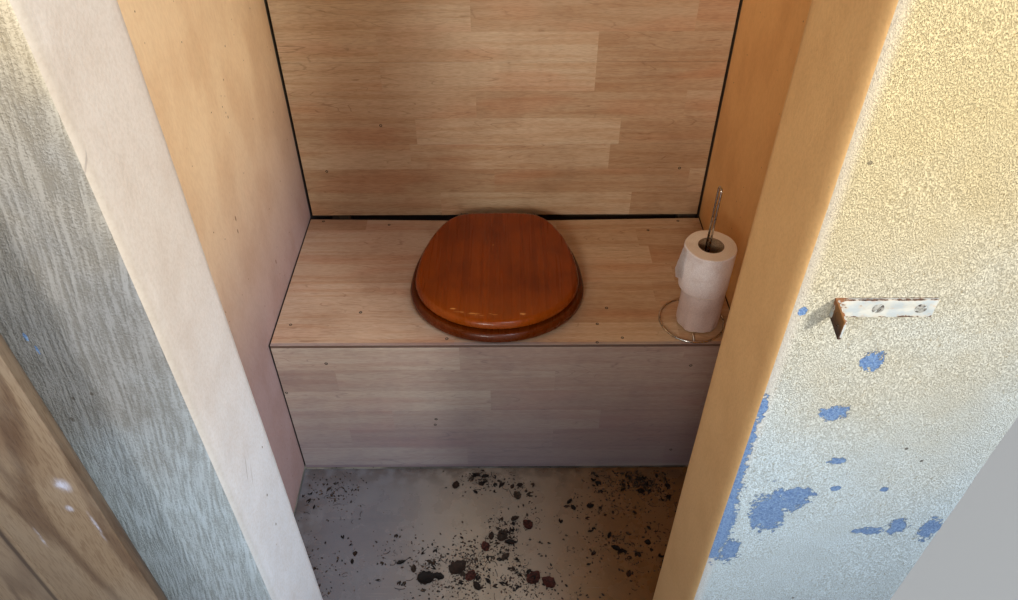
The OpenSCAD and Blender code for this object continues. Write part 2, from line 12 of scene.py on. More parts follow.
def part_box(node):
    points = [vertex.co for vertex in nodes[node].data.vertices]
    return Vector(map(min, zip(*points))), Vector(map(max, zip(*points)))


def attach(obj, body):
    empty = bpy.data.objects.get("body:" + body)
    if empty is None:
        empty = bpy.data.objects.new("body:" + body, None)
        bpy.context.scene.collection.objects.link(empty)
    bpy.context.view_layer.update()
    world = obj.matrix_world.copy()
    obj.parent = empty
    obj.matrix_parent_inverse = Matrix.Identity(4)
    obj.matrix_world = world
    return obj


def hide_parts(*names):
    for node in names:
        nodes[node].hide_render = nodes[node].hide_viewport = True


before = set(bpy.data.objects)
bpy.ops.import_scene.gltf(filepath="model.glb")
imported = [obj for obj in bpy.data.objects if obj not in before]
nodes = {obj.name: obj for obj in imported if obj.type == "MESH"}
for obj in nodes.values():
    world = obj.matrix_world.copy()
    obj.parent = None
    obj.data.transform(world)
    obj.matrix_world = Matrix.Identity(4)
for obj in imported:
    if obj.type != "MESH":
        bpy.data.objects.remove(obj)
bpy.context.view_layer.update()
scene = bpy.context.scene


# View of the photograph
# The camera stands before the open doorway at about eye height and looks down on the bench.
camera = bpy.data.cameras.new("doorway_view")
camera.sensor_width = 36
camera.lens = 26.574
eye = bpy.data.objects.new("doorway_view", camera)
eye.location = (0, -1.0465, 1.5702)
eye.rotation_euler = (math.radians(48.232), 0, math.radians(-0.377))
scene.collection.objects.link(eye)
scene.camera = eye


# Base slab
# Cast concrete under the whole building, with the pit opening left in it. Its arrises are
# knocked off a little, and its face shows the boards' grout, air holes and damp at the foot.
def shade(red, green, blue):
    """An sRGB colour as the linear colour that a shader takes."""
    return [((c / 255 + 0.055) / 1.055) ** 2.4 if c > 10 else c / 3295 for c in (red, green, blue)] + [1]


class Finish:
    """One surface finish: a Principled shader whose patterns are sized in metres on the piece."""

    def __init__(self, name, roughness, **shader_values):
        self.material = bpy.data.materials.new(name)
        self.material.use_nodes = True
        self.tree = self.material.node_tree
        self.shader = self.tree.nodes["Principled BSDF"]
        self.shader.inputs["Roughness"].default_value = roughness
        for socket, value in shader_values.items():
            self.shader.inputs[socket.replace("_", " ")].default_value = value
        self.place = self.add("TexCoord").outputs["Object"]
        split = self.add("SeparateXYZ", {"Vector": self.place})
        self.x, self.y, self.z = split.outputs
        self.bumps = None

    def add(self, kind, inputs=None, **settings):
        """A new node, with its settings, and each input linked or set."""
        made = self.tree.nodes.new("ShaderNode" + kind)
        for setting, value in settings.items():
            setattr(made, setting, value)
        for socket, value in (inputs or {}).items():
            if isinstance(value, bpy.types.NodeSocket):
                self.tree.links.new(value, made.inputs[socket])
            elif isinstance(value, tuple) and len(value) == 3 and made.inputs[socket].type == "RGBA":
                made.inputs[socket].default_value = shade(*value)
            else:
                made.inputs[socket].default_value = value
        return made

    def sum(self, a, b):
        return self.add("Math", {0: a, 1: b}, operation="ADD").outputs[0]

    def times(self, a, b):
        return self.add("Math", {0: a, 1: b}, operation="MULTIPLY").outputs[0]

    def calc(self, operation, *values):
        return self.add("Math", dict(enumerate(values)), operation=operation).outputs[0]

    def rest(self, share):
        """What a share leaves of 1."""
        return self.calc("SUBTRACT", 1, share)

    def off(self, value, middle):
        """How far a value is from a middle, to either side."""
        return self.calc("ABSOLUTE", self.sum(value, -middle))

    def drawn(self, x=1, y=1, z=1, turn=(0, 0, 0), at=None):
        """The place on the piece, drawn out by these lengths along X, Y and Z, so that a
        pattern on it is that much longer there."""
        return self.add("Mapping", {"Vector": at or self.place, "Rotation": turn,
                                    "Scale": (1 / x, 1 / y, 1 / z)}).outputs[0]

    def cloud(self, size, at=None, detail=3, rough=0.5, twist=0):
        """Soft noise with patches of this size."""
        return self.add("TexNoise", {"Vector": at or self.place, "Scale": 1 / size, "Detail": detail,
                                     "Roughness": rough, "Distortion": twist}).outputs[0]

    def cells(self, size, at=None):
        """Distance to the nearest of scattered points that stand this far apart."""
        return self.add("TexVoronoi", {"Vector": at or self.place, "Scale": 1 / size}).outputs["Distance"]

    def fade(self, value, low, high, to=1):
        """0 at low and to at high, with a smooth run between."""
        return self.add("MapRange", {"Value": value, "From Min": low, "From Max": high, "To Max": to},
                        interpolation_type="SMOOTHSTEP").outputs[0]

    def mix(self, amount, below, above):
        return self.add("Mix", {0: amount, 6: below, 7: above}, data_type="RGBA").outputs[2]

    def darken(self, amount, colour, by):
        """The colour multiplied by another where amount is 1."""
        return self.add("Mix", {0: amount, 6: colour, 7: by}, data_type="RGBA",
                        blend_type="MULTIPLY").outputs[2]

    def nearest(self, a, b, ovals):
        """Distance to the nearest of some ovals, which is 1 on their rims. Each has a place
        along a and b, a half width and a half height."""
        best = None
        for at_a, at_b, wide, high in ovals:
            across = self.times(self.sum(a, -at_a), 1 / wide)
            along = self.times(self.sum(b, -at_b), 1 / high)
            away = self.add("CombineXYZ", {0: across, 1: along, 2: 0}).outputs[0]
            away = self.add("VectorMath", {0: away}, operation="LENGTH").outputs["Value"]
            best = away if best is None else self.calc("MINIMUM", best, away)
        return best

    def own_place(self):
        """The place on the piece, moved far off by the number of the board or strip, so that
        no two of them have one figure."""
        number = self.add("Attribute", attribute_name="figure").outputs["Fac"]
        away = self.add("CombineXYZ", {0: self.times(number, 31), 1: self.times(number, 17),
                                       2: self.times(number, 23)}).outputs[0]
        return self.add("VectorMath", {0: self.place, 1: away}, operation="ADD").outputs[0]

    def relief(self, height, depth):
        """Adds a relief of this depth to the surface."""
        inputs = {"Height": height, "Distance": depth, "Strength": 1}
        if self.bumps:
            inputs["Normal"] = self.bumps
        self.bumps = self.add("Bump", inputs).outputs[0]

    def done(self, colour, roughness=None):
        """Joins the patterns to the shader and gives the material."""
        for socket, value in (("Base Color", colour), ("Roughness", roughness), ("Normal", self.bumps)):
            if value is not None:
                self.tree.links.new(value, self.shader.inputs[socket])
        return self.material


def as_mesh(shape, name):
    """A new mesh made of an editable one, which is used up."""
    mesh = bpy.data.meshes.new(name)
    shape.to_mesh(mesh)
    shape.free()
    return mesh


def link(name, mesh, *materials):
    """A new object at the origin with this mesh and these materials."""
    piece = bpy.data.objects.new(name, mesh)
    scene.collection.objects.link(piece)
    for material in materials:
        mesh.materials.append(material)
    return piece


def finished(piece):
    """The piece with its modifiers made part of its mesh."""
    mesh = bpy.data.meshes.new_from_object(
        piece.evaluated_get(bpy.context.evaluated_depsgraph_get()))
    piece.modifiers.clear()
    piece.data = mesh
    return piece


def solid_of(*names):
    """The CAD solids of these nodes as one editable mesh, joined at their corners. Each loose
    solid is marked with a number, which gives every board a figure of its own."""
    shape = bmesh.new()
    for name in names:
        shape.from_mesh(nodes[name].data)
    bmesh.ops.remove_doubles(shape, verts=shape.verts, dist=1e-6)
    bmesh.ops.dissolve_limit(shape, angle_limit=math.radians(0.5), verts=shape.verts,
                             edges=shape.edges)
    own_number = random.Random("".join(names))
    figure_mark = shape.faces.layers.float.new("figure")
    for face in shape.faces:
        face.tag = False
    for first in shape.faces:
        if first.tag:
            continue
        number, reached = own_number.random(), [first]
        first.tag = True
        while reached:
            here = reached.pop()
            here[figure_mark] = number
            for edge in here.edges:
                for there in edge.link_faces:
                    if not there.tag:
                        there.tag = True
                        reached.append(there)
    return shape


def eased(node, edge, *materials, slot, body="house", smooth_under=40, steps=2, reshape=None):
    """Stands for a CAD node: its solid with every sharp arris eased by edge."""
    shape = solid_of(node)
    if reshape:
        reshape(shape)
    mesh = as_mesh(shape, "eased_" + node)
    mesh.shade_smooth()
    piece = link("eased_" + node, mesh, *materials)
    easing = piece.modifiers.new("easing", "BEVEL")
    easing.width = edge
    easing.segments = steps
    easing.limit_method = "ANGLE"
    easing.angle_limit = math.radians(smooth_under)
    easing.harden_normals = True
    finished(piece)
    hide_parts(node)
    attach(piece, body)


cast = Finish("cast_concrete", 0.9)
damp = cast.fade(cast.sum(cast.z, cast.times(cast.cloud(0.09), 0.05)), 0.075, 0.02)
grout = cast.mix(cast.fade(cast.cloud(0.06, detail=5), 0.35, 0.65), (122, 119, 112), (168, 164, 154))
grout = cast.mix(cast.times(damp, 0.6), grout, (84, 84, 72))
air_holes_painted_shade = cast.fade(cast.cells(0.011), 0.16, 0.1)
cast.relief(cast.cloud(0.004, detail=4), 0.0008)
cast.relief(cast.rest(air_holes_painted_shade), 0.0012)
# The air holes are darkened as painted shade in them
concrete = cast.done(cast.darken(cast.times(air_holes_painted_shade, 0.7), grout, (90, 86, 80)))
eased("base_slab", 0.004, concrete, slot="concrete")


# Floor covering
# One sheet of beige vinyl laid loose on the slab up to the bench. It is scuffed, and darker in
# patches along the walls and the bench front.
vinyl = Finish("floor_vinyl", 0.55)
wear = vinyl.fade(vinyl.cloud(0.11, detail=5, rough=0.6), 0.38, 0.62)
worn_through = vinyl.times(wear, 0.6)
# Painted light: the left of the floor is painted grey as cool light, the right brown as warm bounce light in
# shade
cool_light_side = vinyl.mix(worn_through, (116, 116, 122), (128, 128, 132))
warm_bounce_side = vinyl.mix(worn_through, (136, 102, 62), (146, 112, 74))
middle_part = vinyl.mix(worn_through, (150, 137, 120), (158, 146, 130))
beige = vinyl.mix(vinyl.fade(vinyl.x, -0.30, -0.04), cool_light_side, middle_part)
beige = vinyl.mix(vinyl.fade(vinyl.x, -0.02, 0.30), beige, warm_bounce_side)
bench_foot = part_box("bench_front_lower")[0].y
# Darker in patches along the walls and along the bench front
darker_by_walls = vinyl.calc("MAXIMUM", vinyl.fade(vinyl.y, bench_foot - 0.08, bench_foot - 0.004),
                       vinyl.fade(vinyl.calc("ABSOLUTE", vinyl.x), 0.36, 0.48))
darker_by_walls = vinyl.times(darker_by_walls, vinyl.fade(vinyl.cloud(0.035, detail=5), 0.36, 0.6))
beige = vinyl.mix(vinyl.times(darker_by_walls, 0.5), beige, (78, 62, 50))
spots = vinyl.fade(vinyl.cells(0.021), 0.07, 0.04)
beige = vinyl.mix(vinyl.times(spots, 0.7), beige, (64, 48, 38))
scratches = vinyl.fade(vinyl.cloud(0.01, at=vinyl.drawn(14, 0.6, 1, turn=(0, 0, 0.5))), 0.66, 0.72)
beige = vinyl.mix(vinyl.times(scratches, 0.12), beige, (178, 170, 160))
vinyl.relief(vinyl.cloud(0.05, detail=2), 0.0012)
vinyl.relief(vinyl.cloud(0.0015, detail=2), 0.0002)
floor_vinyl = vinyl.done(beige, vinyl.fade(wear, 0, 1, 0.6))
eased("floor_sheet", 0.001, floor_vinyl, slot="floor_cover")


# Walls
# Masonry under lime render, with arrises rounded by hand. Outside it is a coarse coat, drawn
# down in leaning streaks left of the doorway and sprinkled right of it; the reveals and the
# room have a smooth painted coat.
wall_names = ("left_wall", "right_wall", "back_wall",
              "front_wall_left", "front_wall_right", "front_wall_top")
front_low, front_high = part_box("front_wall_left")[0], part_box("front_wall_right")[1]
door_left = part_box("front_wall_left")[1].x
door_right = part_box("front_wall_right")[0].x
door_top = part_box("front_wall_top")[0].z
room_left, room_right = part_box("left_wall")[1].x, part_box("right_wall")[0].x
front_y, room_y = front_low.y, front_high.y
room_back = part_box("back_wall")[0].y

render_grid = 0.008


def stands_out(point):
    """How far the render stands out at a point: slow waves from the darby, quick ones from
    the float."""
    slow = noise.noise(point * 5.2 + Vector((7, 3, 1)))
    quick = noise.noise(point * 24)
    inside = room_left - 0.02 < point.x < room_right + 0.02 and room_y - 0.02 < point.y < room_back + 0.02
    return (0.0005 * slow + 0.0002 * quick) if inside else (0.0012 * slow + 0.0005 * quick)


rough = link("rough_walls", as_mesh(solid_of(*wall_names), "rough_walls"))
grid = rough.modifiers.new("grid", "REMESH")
grid.mode = "VOXEL"
grid.voxel_size = render_grid
rounding = rough.modifiers.new("rounding", "SMOOTH")
rounding.factor = 0.5
rounding.iterations = 5
finished(rough)
skin = bmesh.new()
skin.from_mesh(rough.data)
bpy.data.objects.remove(rough)
skin.normal_update()
for vert in skin.verts:
    vert.co += vert.normal * stands_out(vert.co)

# The coarse outer coat
coat = Finish("render_outside", 0.92)
left_side = coat.fade(coat.x, -0.2, -0.3)
front_side = coat.fade(coat.y, front_y + 0.04, front_y + 0.012)
combed = coat.times(left_side, front_side)
bend = coat.times(coat.calc("SUBTRACT", coat.cloud(0.3, detail=1), 0.5), 0.03)
lean = coat.times(coat.z, -0.13)
leaning = coat.add("CombineXYZ", {0: coat.sum(coat.x, coat.sum(bend, lean)), 1: coat.y, 2: coat.z}).outputs[0]
streaks = coat.cloud(0.0036, at=coat.drawn(1, 1, 13, at=leaning), detail=3, rough=0.55)
grains = coat.cloud(0.0022, detail=2, rough=0.7)
granules = coat.cloud(0.0013, at=coat.drawn(1, 1, 1.5, turn=(0, 0.6, 0)), detail=2, rough=0.75)
grit = coat.mix(combed, coat.fade(granules, 0.29, 0.62),
                coat.fade(coat.sum(coat.times(streaks, 0.6), coat.times(grains, 0.4)), 0.35, 0.61))
# Painted light: the coat is painted warm cream high up and cool bluish lower down, and the combed part left of
# the doorway greyer as painted shade
height = coat.sum(coat.z, coat.times(coat.calc("SUBTRACT", coat.cloud(0.2, detail=4), 0.5), 0.4))
cream_painted_light = coat.mix(coat.fade(height, 0.72, 1.36), (212, 232, 246), (224, 204, 156))
grey_painted_shade = coat.mix(coat.fade(height, 0.74, 1.04), (168, 183, 196), (140, 141, 142))
grey_painted_shade = coat.mix(coat.fade(height, 1.12, 1.5), grey_painted_shade, (216, 196, 158))
paint = coat.mix(combed, cream_painted_light, grey_painted_shade)
mottle = coat.fade(coat.cloud(0.05, detail=5, rough=0.65), 0.3, 0.7)
paint = coat.darken(coat.times(mottle, 0.25), paint, (226, 222, 214))
paint = coat.darken(coat.times(coat.rest(grit), 0.66), paint, (180, 174, 162))
pecked = coat.cloud(0.0026, at=coat.drawn(1, 1, 2, turn=(0, 0.6, 0)), detail=2, rough=0.7)
flecks = coat.times(coat.fade(pecked, 0.60, 0.70), coat.rest(combed))
paint = coat.darken(coat.times(flecks, 0.55), paint, (196, 178, 146))
beside_doorway = coat.times(front_side, coat.fade(coat.z, door_top + 0.01, door_top - 0.02))
# The reveal's cream carried round the left arris, kept only high up as a painted highlight
arris_cream_and_highlight = coat.times(coat.fade(coat.off(coat.x, door_left), 0.009, 0.002), coat.fade(coat.z, 1.15, 1.42))
arris_cream_and_highlight = coat.times(arris_cream_and_highlight, beside_doorway)
paint = coat.mix(coat.times(arris_cream_and_highlight, 0.6), paint, (232, 221, 196))
brushed_edge = coat.times(coat.fade(coat.off(coat.x, door_right), 0.020, 0.006), beside_doorway)
paint = coat.mix(coat.times(brushed_edge, 0.5), paint, (208, 198, 190))

# Blue paint of an older coat, bare where the cream has flaked off: X, Z, half width and half
# height of each spot on the front
blue_spots = ((0.353, 1.042, 0.010, 0.014), (0.340, 0.965, 0.016, 0.011), (0.367, 0.882, 0.010, 0.006),
              (0.381, 0.829, 0.006, 0.005), (0.438, 0.827, 0.005, 0.005), (0.316, 0.784, 0.022, 0.045),
              (0.334, 0.819, 0.026, 0.012), (0.331, 0.798, 0.022, 0.015), (0.284, 0.694, 0.013, 0.026),
              (0.264, 0.698, 0.014, 0.030), (0.449, 0.738, 0.019, 0.008), (0.480, 0.748, 0.012, 0.018),
              (0.523, 0.743, 0.013, 0.024), (0.264, 0.971, 0.005, 0.020), (0.260, 0.908, 0.008, 0.060),
              (0.260, 0.854, 0.010, 0.060), (0.262, 0.802, 0.012, 0.060), (0.264, 0.750, 0.014, 0.060),
              (0.270, 1.108, 0.004, 0.005), (-0.445, 1.080, 0.0018, 0.006), (-0.441, 1.064, 0.0014, 0.005))
ragged = coat.times(coat.calc("SUBTRACT", coat.cloud(0.010, detail=5, rough=0.75), 0.5), 3.0)
bare = coat.nearest(coat.x, coat.z, blue_spots)
bare = coat.times(coat.fade(coat.sum(bare, ragged), 1.02, 0.92), front_side)
old_blue = coat.mix(coat.fade(grains, 0.35, 0.65), (96, 130, 184), (134, 166, 208))
# Painted shade along the rims of the bare blue patches, where the broken edge of the cream coat stands
flake_rim_painted_shade = coat.times(coat.fade(coat.off(bare, 0.5), 0.42, 0.2), coat.fade(mottle, 0.35, 0.7))
paint = coat.mix(bare, paint, old_blue)
paint = coat.darken(coat.times(flake_rim_painted_shade, 0.7), paint, (120, 112, 108))
pits = coat.times(coat.fade(coat.cells(0.05), 0.055, 0.03), coat.fade(coat.cloud(0.2), 0.5, 0.6))
paint = coat.mix(coat.times(pits, 0.8), paint, (70, 62, 52))
chips = coat.nearest(coat.x, coat.z, ((-0.413, 1.001, 0.003, 0.004), (-0.434, 0.994, 0.002, 0.003),
                                      (-0.4475, 0.961, 0.002, 0.004)))
chips = coat.times(coat.fade(coat.sum(chips, ragged), 1.1, 0.7), front_side)
paint = coat.mix(coat.times(chips, 0.75), paint, (76, 68, 60))
smoothed = coat.times(coat.calc("MAXIMUM", arris_cream_and_highlight, brushed_edge), 0.75)
coat.relief(coat.times(grit, coat.rest(smoothed)), 0.0009)
coat.relief(coat.rest(bare), 0.0008)
coat.relief(coat.cloud(0.03, detail=3), 0.0008)
render_outside = coat.done(paint)

# The smooth coat of the reveals: pale on the left, and tan on the right as painted warm bounce light in shade
smooth = Finish("render_reveal", 0.85)
right_side = smooth.fade(smooth.x, -0.1, 0.1)
# Painted light: both reveals are painted cooler and bluish lower down
pale_painted_light = smooth.mix(smooth.fade(smooth.z, 0.6, 1.2), (226, 238, 255), (226, 217, 206))
tan_painted_bounce = smooth.mix(smooth.fade(smooth.z, 0.55, 1.3), (214, 176, 126), (232, 184, 122))
reveal = smooth.mix(right_side, pale_painted_light, tan_painted_bounce)
reveal = smooth.darken(smooth.times(smooth.fade(smooth.cloud(0.07, detail=5, rough=0.6), 0.4, 0.7), 0.35),
                       reveal, (236, 228, 220))
# Painted shade along the front arris of the left reveal, with some rubbed grime
arris_grime_and_shade = smooth.times(smooth.fade(smooth.y, front_y + 0.018, front_y + 0.004), smooth.rest(right_side))
reveal = smooth.darken(smooth.times(arris_grime_and_shade, 0.85), reveal, (208, 203, 196))
peel = smooth.cloud(0.004, detail=3, rough=0.6)
reveal = smooth.darken(smooth.fade(peel, 0.6, 0.35, 0.16), reveal, (208, 196, 180))
reveal_pits = smooth.times(smooth.fade(smooth.cells(0.030), 0.05, 0.025),
                           smooth.fade(smooth.cloud(0.09), 0.5, 0.6))
reveal = smooth.mix(smooth.times(reveal_pits, 0.7), reveal, (120, 92, 66))
rub_spots = ((-0.4674, 0.7045, 0.0018, 0.0022), (-0.472, 0.6411, 0.0018, 0.0022),
             (-0.4367, 0.7685, 0.0012, 0.002))
rubs = smooth.nearest(smooth.y, smooth.z, rub_spots)
rubs = smooth.times(smooth.fade(rubs, 1.1, 0.8), smooth.rest(right_side))
reveal = smooth.mix(smooth.times(rubs, 0.9), reveal, (52, 42, 36))
leaning_y = smooth.sum(smooth.y, smooth.times(smooth.z, -0.42))
scrape_spots = ((-0.826, 0.797, 0.0016, 0.020), (-0.810, 0.775, 0.001, 0.016),
                (-1.0705, 1.262, 0.001, 0.012), (-0.905, 0.70, 0.0012, 0.018))
scraped = smooth.nearest(leaning_y, smooth.z, scrape_spots)
scraped = smooth.times(smooth.fade(scraped, 1.1, 0.5), smooth.rest(right_side))
reveal = smooth.mix(smooth.times(scraped, 0.4), reveal, (122, 114, 112))
smooth.relief(peel, 0.0003)
smooth.relief(smooth.cloud(0.045, detail=2), 0.0016)
render_reveal = smooth.done(reveal)

# The coat of the room, peach, darkened lower down as painted shade and amber on the right wall
# as painted warm bounce light, and marked by insects
lime = Finish("render_inside", 0.85)
warm_side = lime.fade(lime.x, -0.1, 0.1)
peach_painted_shade = lime.mix(lime.fade(lime.z, 0.45, 1.05), (172, 151, 156), (254, 226, 183))
amber_painted_bounce = lime.mix(lime.fade(lime.z, 0.45, 1.1), (222, 170, 108), (240, 186, 118))
room_paint = lime.mix(warm_side, peach_painted_shade, amber_painted_bounce)
patchy = lime.fade(lime.cloud(0.09, at=lime.drawn(1, 1, 1.6), detail=5), 0.4, 0.68)
room_paint = lime.darken(lime.times(patchy, 0.45), room_paint, (230, 216, 206))
brushed = lime.cloud(0.005, at=lime.drawn(1, 1, 2.5), detail=3, rough=0.6)
room_paint = lime.darken(lime.fade(brushed, 0.6, 0.38, 0.12), room_paint, (206, 184, 164))
specks = lime.times(lime.fade(lime.cells(0.022), 0.075, 0.05),
                    lime.fade(lime.cloud(0.09, detail=3), 0.47, 0.55))
room_paint = lime.mix(lime.times(specks, 0.8), room_paint, (92, 52, 26))
mark_spots = ((0.032, 0.801, 0.003, 0.006), (0.0255, 0.778, 0.0025, 0.005), (0.143, 1.006, 0.002, 0.002),
              (0.188, 1.045, 0.002, 0.002), (0.119, 0.950, 0.002, 0.003), (0.115, 0.960, 0.0015, 0.002),
              (0.161, 0.600, 0.003, 0.006))
marks = lime.nearest(lime.y, lime.z, mark_spots)
marks = lime.times(lime.fade(marks, 1.1, 0.6), lime.rest(warm_side))
room_paint = lime.mix(lime.times(marks, 0.7), room_paint, (110, 62, 34))

# Behind the planks and under the bench top the wall is painted near black, as painted shade in the gaps
bench_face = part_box("bench_front_upper")[0].y
bench_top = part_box("bench_top_front")[1].z
lining_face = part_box("back_planks")[0].y
gap_painted_shade = lime.calc("MAXIMUM", lime.fade(lime.y, lining_face + 0.0008, lining_face + 0.003),
                   lime.times(lime.fade(lime.y, bench_face + 0.0008, bench_face + 0.003),
                              lime.fade(lime.z, bench_top - 0.001, bench_top - 0.004)))
room_paint = lime.mix(lime.times(gap_painted_shade, 0.93), room_paint, (26, 22, 20))
lime.relief(brushed, 0.0002)
lime.relief(lime.cloud(0.06, detail=2), 0.0012)
render_inside = lime.done(room_paint)

outside, reveal_coat, inside = 0, 1, 2
for face in skin.faces:
    face.smooth = True
    middle, way = face.calc_center_median(), face.normal
    in_room = (room_left - 0.004 < middle.x < room_right + 0.004
               and room_y - 0.004 < middle.y < room_back + 0.004)
    in_door = (door_left - 0.012 < middle.x < door_right + 0.012 and middle.z < door_top + 0.012
               and front_y - 0.006 < middle.y < room_y and abs(way.y) < 0.8)
    face.material_index = inside if in_room else reveal_coat if in_door else outside

# The skin is parted a little inside the room's corners, so that every corner stays whole
corner = 0.02
ahead, behind = (0, room_y + corner, 0), (0, room_back - corner, 0)
wall_parts = {
    "render_front": (("front_wall_left", "front_wall_right", "front_wall_top"), ((ahead, (0, 1, 0)),)),
    "render_left": (("left_wall",), (((0, 0, 0), (1, 0, 0)), (ahead, (0, -1, 0)), (behind, (0, 1, 0)))),
    "render_right": (("right_wall",), (((0, 0, 0), (-1, 0, 0)), (ahead, (0, -1, 0)), (behind, (0, 1, 0)))),
    "render_back": (("back_wall",), ((behind, (0, -1, 0)),)),
}
for name, (replaced, cuts) in wall_parts.items():
    part = skin.copy()
    for point, away in cuts:
        bmesh.ops.bisect_plane(part, geom=part.verts[:] + part.edges[:] + part.faces[:],
                               plane_co=point, plane_no=away, clear_outer=True)
    rim = [edge for edge in part.edges if edge.is_boundary]
    for edge in rim:
        edge.smooth = False
    for face in bmesh.ops.holes_fill(part, edges=rim, sides=0)["faces"]:
        face.smooth = False
    bmesh.ops.triangulate(part, faces=[face for face in part.faces if len(face.verts) > 4])
    wall = link(name, as_mesh(part, name), render_outside, render_reveal, render_inside)
    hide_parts(*replaced)
    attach(wall, "house")
skin.free()


# Bench frame and deck, battens of the back lining
# Sawn softwood: a ring of rails on four legs, a board deck with the seat hole cut through it,
# and three upright battens screwed to the back wall. All are left bare.
def softwood(name, along, pale_tone, dark_tone, ring_width=0.012, weather=0.3, roughness=0.7):
    """Softwood with its grain along one axis: the finish so far, its tone, and the place of
    its figure, which differs from board to board."""
    wood = Finish(name, roughness)
    spot = wood.own_place()
    lengths = [1, 1, 1]
    lengths["xyz".index(along)] = 11
    long_grain = wood.drawn(*lengths, at=spot)
    sway = wood.cloud(0.09, at=long_grain, detail=2)
    rings = wood.add("Math", {0: wood.times(sway, 0.09 / ring_width * 2.2), 1: 1},
                     operation="PINGPONG").outputs[0]
    late = wood.fade(rings, 0.55, 0.95)
    fibre = wood.cloud(0.0016, at=long_grain, detail=2, rough=0.6)
    tone = wood.mix(late, pale_tone, dark_tone)
    tone = wood.darken(wood.fade(fibre, 0.55, 0.35, 0.45), tone, (168, 138, 112))
    aged = wood.cloud(0.16, at=wood.drawn(*[l ** 0.4 for l in lengths], at=spot), detail=5)
    tone = wood.mix(wood.times(wood.fade(aged, 0.42, 0.66), weather), tone, (118, 108, 98))
    wood.relief(wood.sum(wood.times(fibre, 0.6), wood.times(late, 0.4)), 0.0005)
    return wood, tone, spot


sawn, sawn_tone, _ = softwood("sawn_softwood", "x", (206, 168, 120), (168, 118, 72))
sawn_x = sawn.done(sawn_tone)
sawn, sawn_tone, _ = softwood("sawn_softwood_upright", "z", (200, 162, 116), (160, 112, 70))
# Painted shade: the battens are painted near black just above the bench top, where only a gap shows them
batten_gap_painted_shade = sawn.fade(sawn.z, bench_top + 0.10, bench_top + 0.02)
sawn_z = sawn.done(sawn.mix(sawn.times(batten_gap_painted_shade, 0.9), sawn_tone, (34, 28, 24)))
eased("bench_frame", 0.002, sawn_x, slot="timber")
eased("bench_deck", 0.0015, sawn_x, slot="timber")
eased("back_battens", 0.002, sawn_z, slot="timber")


# Laminate planks
# Flooring planks clicked together on the bench and up the back wall. Each is printed with
# three strips of maple, butted end to end in runs of about 45 cm, some pale and some tan.
strip_width = 0.193 / 3
strip_run = 0.452
plank_end_gap = 0.0015

maple = Finish("maple_laminate", 0.38, Specular_IOR_Level=0.45)
tone_of_strip = maple.add("Attribute", attribute_name="tone").outputs["Fac"]
moved = maple.own_place()
base_tone = maple.mix(maple.fade(tone_of_strip, -1, 1), (186, 149, 111), (228, 207, 175))
band = maple.cloud(0.014, at=maple.drawn(22, 1, 1, at=moved), detail=3)
base_tone = maple.darken(maple.fade(band, 0.4, 0.66, 0.45), base_tone, (226, 196, 168))
heart = maple.fade(maple.cloud(0.07, at=maple.drawn(4, 1, 1, at=moved), detail=1), 0.52, 0.68)
base_tone = maple.mix(maple.times(heart, 0.28), base_tone, (206, 144, 104))
hill = maple.cloud(0.045, at=maple.drawn(7, 1, 1, at=moved), detail=1, twist=0.2)
hill = maple.sum(hill, maple.times(maple.cloud(0.010, at=maple.drawn(5, 1, 1, at=moved), detail=2), 0.06))
line = maple.calc("PINGPONG", maple.times(hill, 13), 0.5)
vein = maple.fade(line, 0.075, 0.0)
strong = maple.fade(maple.cloud(0.06, at=maple.drawn(3, 1, 1, at=moved), detail=2), 0.45, 0.64)
base_tone = maple.mix(maple.times(vein, maple.sum(maple.times(strong, 0.36), 0.10)), base_tone,
                      (142, 100, 64))
pores = maple.cloud(0.0011, at=maple.drawn(16, 1, 1, at=moved), detail=1)
base_tone = maple.darken(maple.fade(pores, 0.56, 0.38, 0.28), base_tone, (182, 140, 104))
knots = maple.times(maple.fade(maple.cells(0.11, at=maple.drawn(1.8, 1, 1, at=moved)), 0.055, 0.02),
                    maple.fade(maple.cloud(0.004), 0.3, 0.6))
base_tone = maple.mix(maple.times(knots, 0.4), base_tone, (120, 70, 40))
grime = maple.fade(maple.cloud(0.13, detail=5, rough=0.6), 0.45, 0.75)
base_tone = maple.darken(maple.times(grime, 0.35), base_tone, (196, 180, 166))
# The bench front is painted blue-grey all over and more so lower down: painted shade, with some dust
front_face = maple.fade(maple.y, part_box("bench_front_upper")[1].y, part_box("bench_front_upper")[0].y + 0.006)
front_shade_level = maple.sum(maple.z, maple.times(maple.cloud(0.06, detail=4), 0.1))
front_dust_and_shade = maple.times(front_face, maple.fade(front_shade_level, 0.55, 0.1, 0.28))
front_dust_and_shade = maple.sum(front_dust_and_shade, maple.times(front_face, 0.38))
base_tone = maple.mix(front_dust_and_shade, base_tone, (96, 110, 142))
# On the lining, painted light: lighter and warmer towards the top, and painted shade lower down
on_wall = maple.fade(maple.y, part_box("back_planks")[0].y - 0.010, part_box("back_planks")[0].y - 0.001)
base_tone = maple.mix(maple.times(on_wall, maple.fade(maple.z, 0.85, 1.5, 0.5)), base_tone, (250, 230, 192))
base_tone = maple.darken(maple.times(on_wall, maple.fade(maple.z, 0.95, 0.5, 0.4)), base_tone,
                         (206, 192, 176))
front_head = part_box("bench_front_upper")[1].z
# A painted shadow line on the front edge of the bench top, above the front planks
edge_painted_shadow = maple.times(maple.fade(maple.z, front_head, front_head + 0.001),
                     maple.fade(maple.z, bench_top - 0.0003, bench_top - 0.0012))
base_tone = maple.mix(maple.times(maple.times(front_face, edge_painted_shadow), 0.8), base_tone, (72, 44, 32))
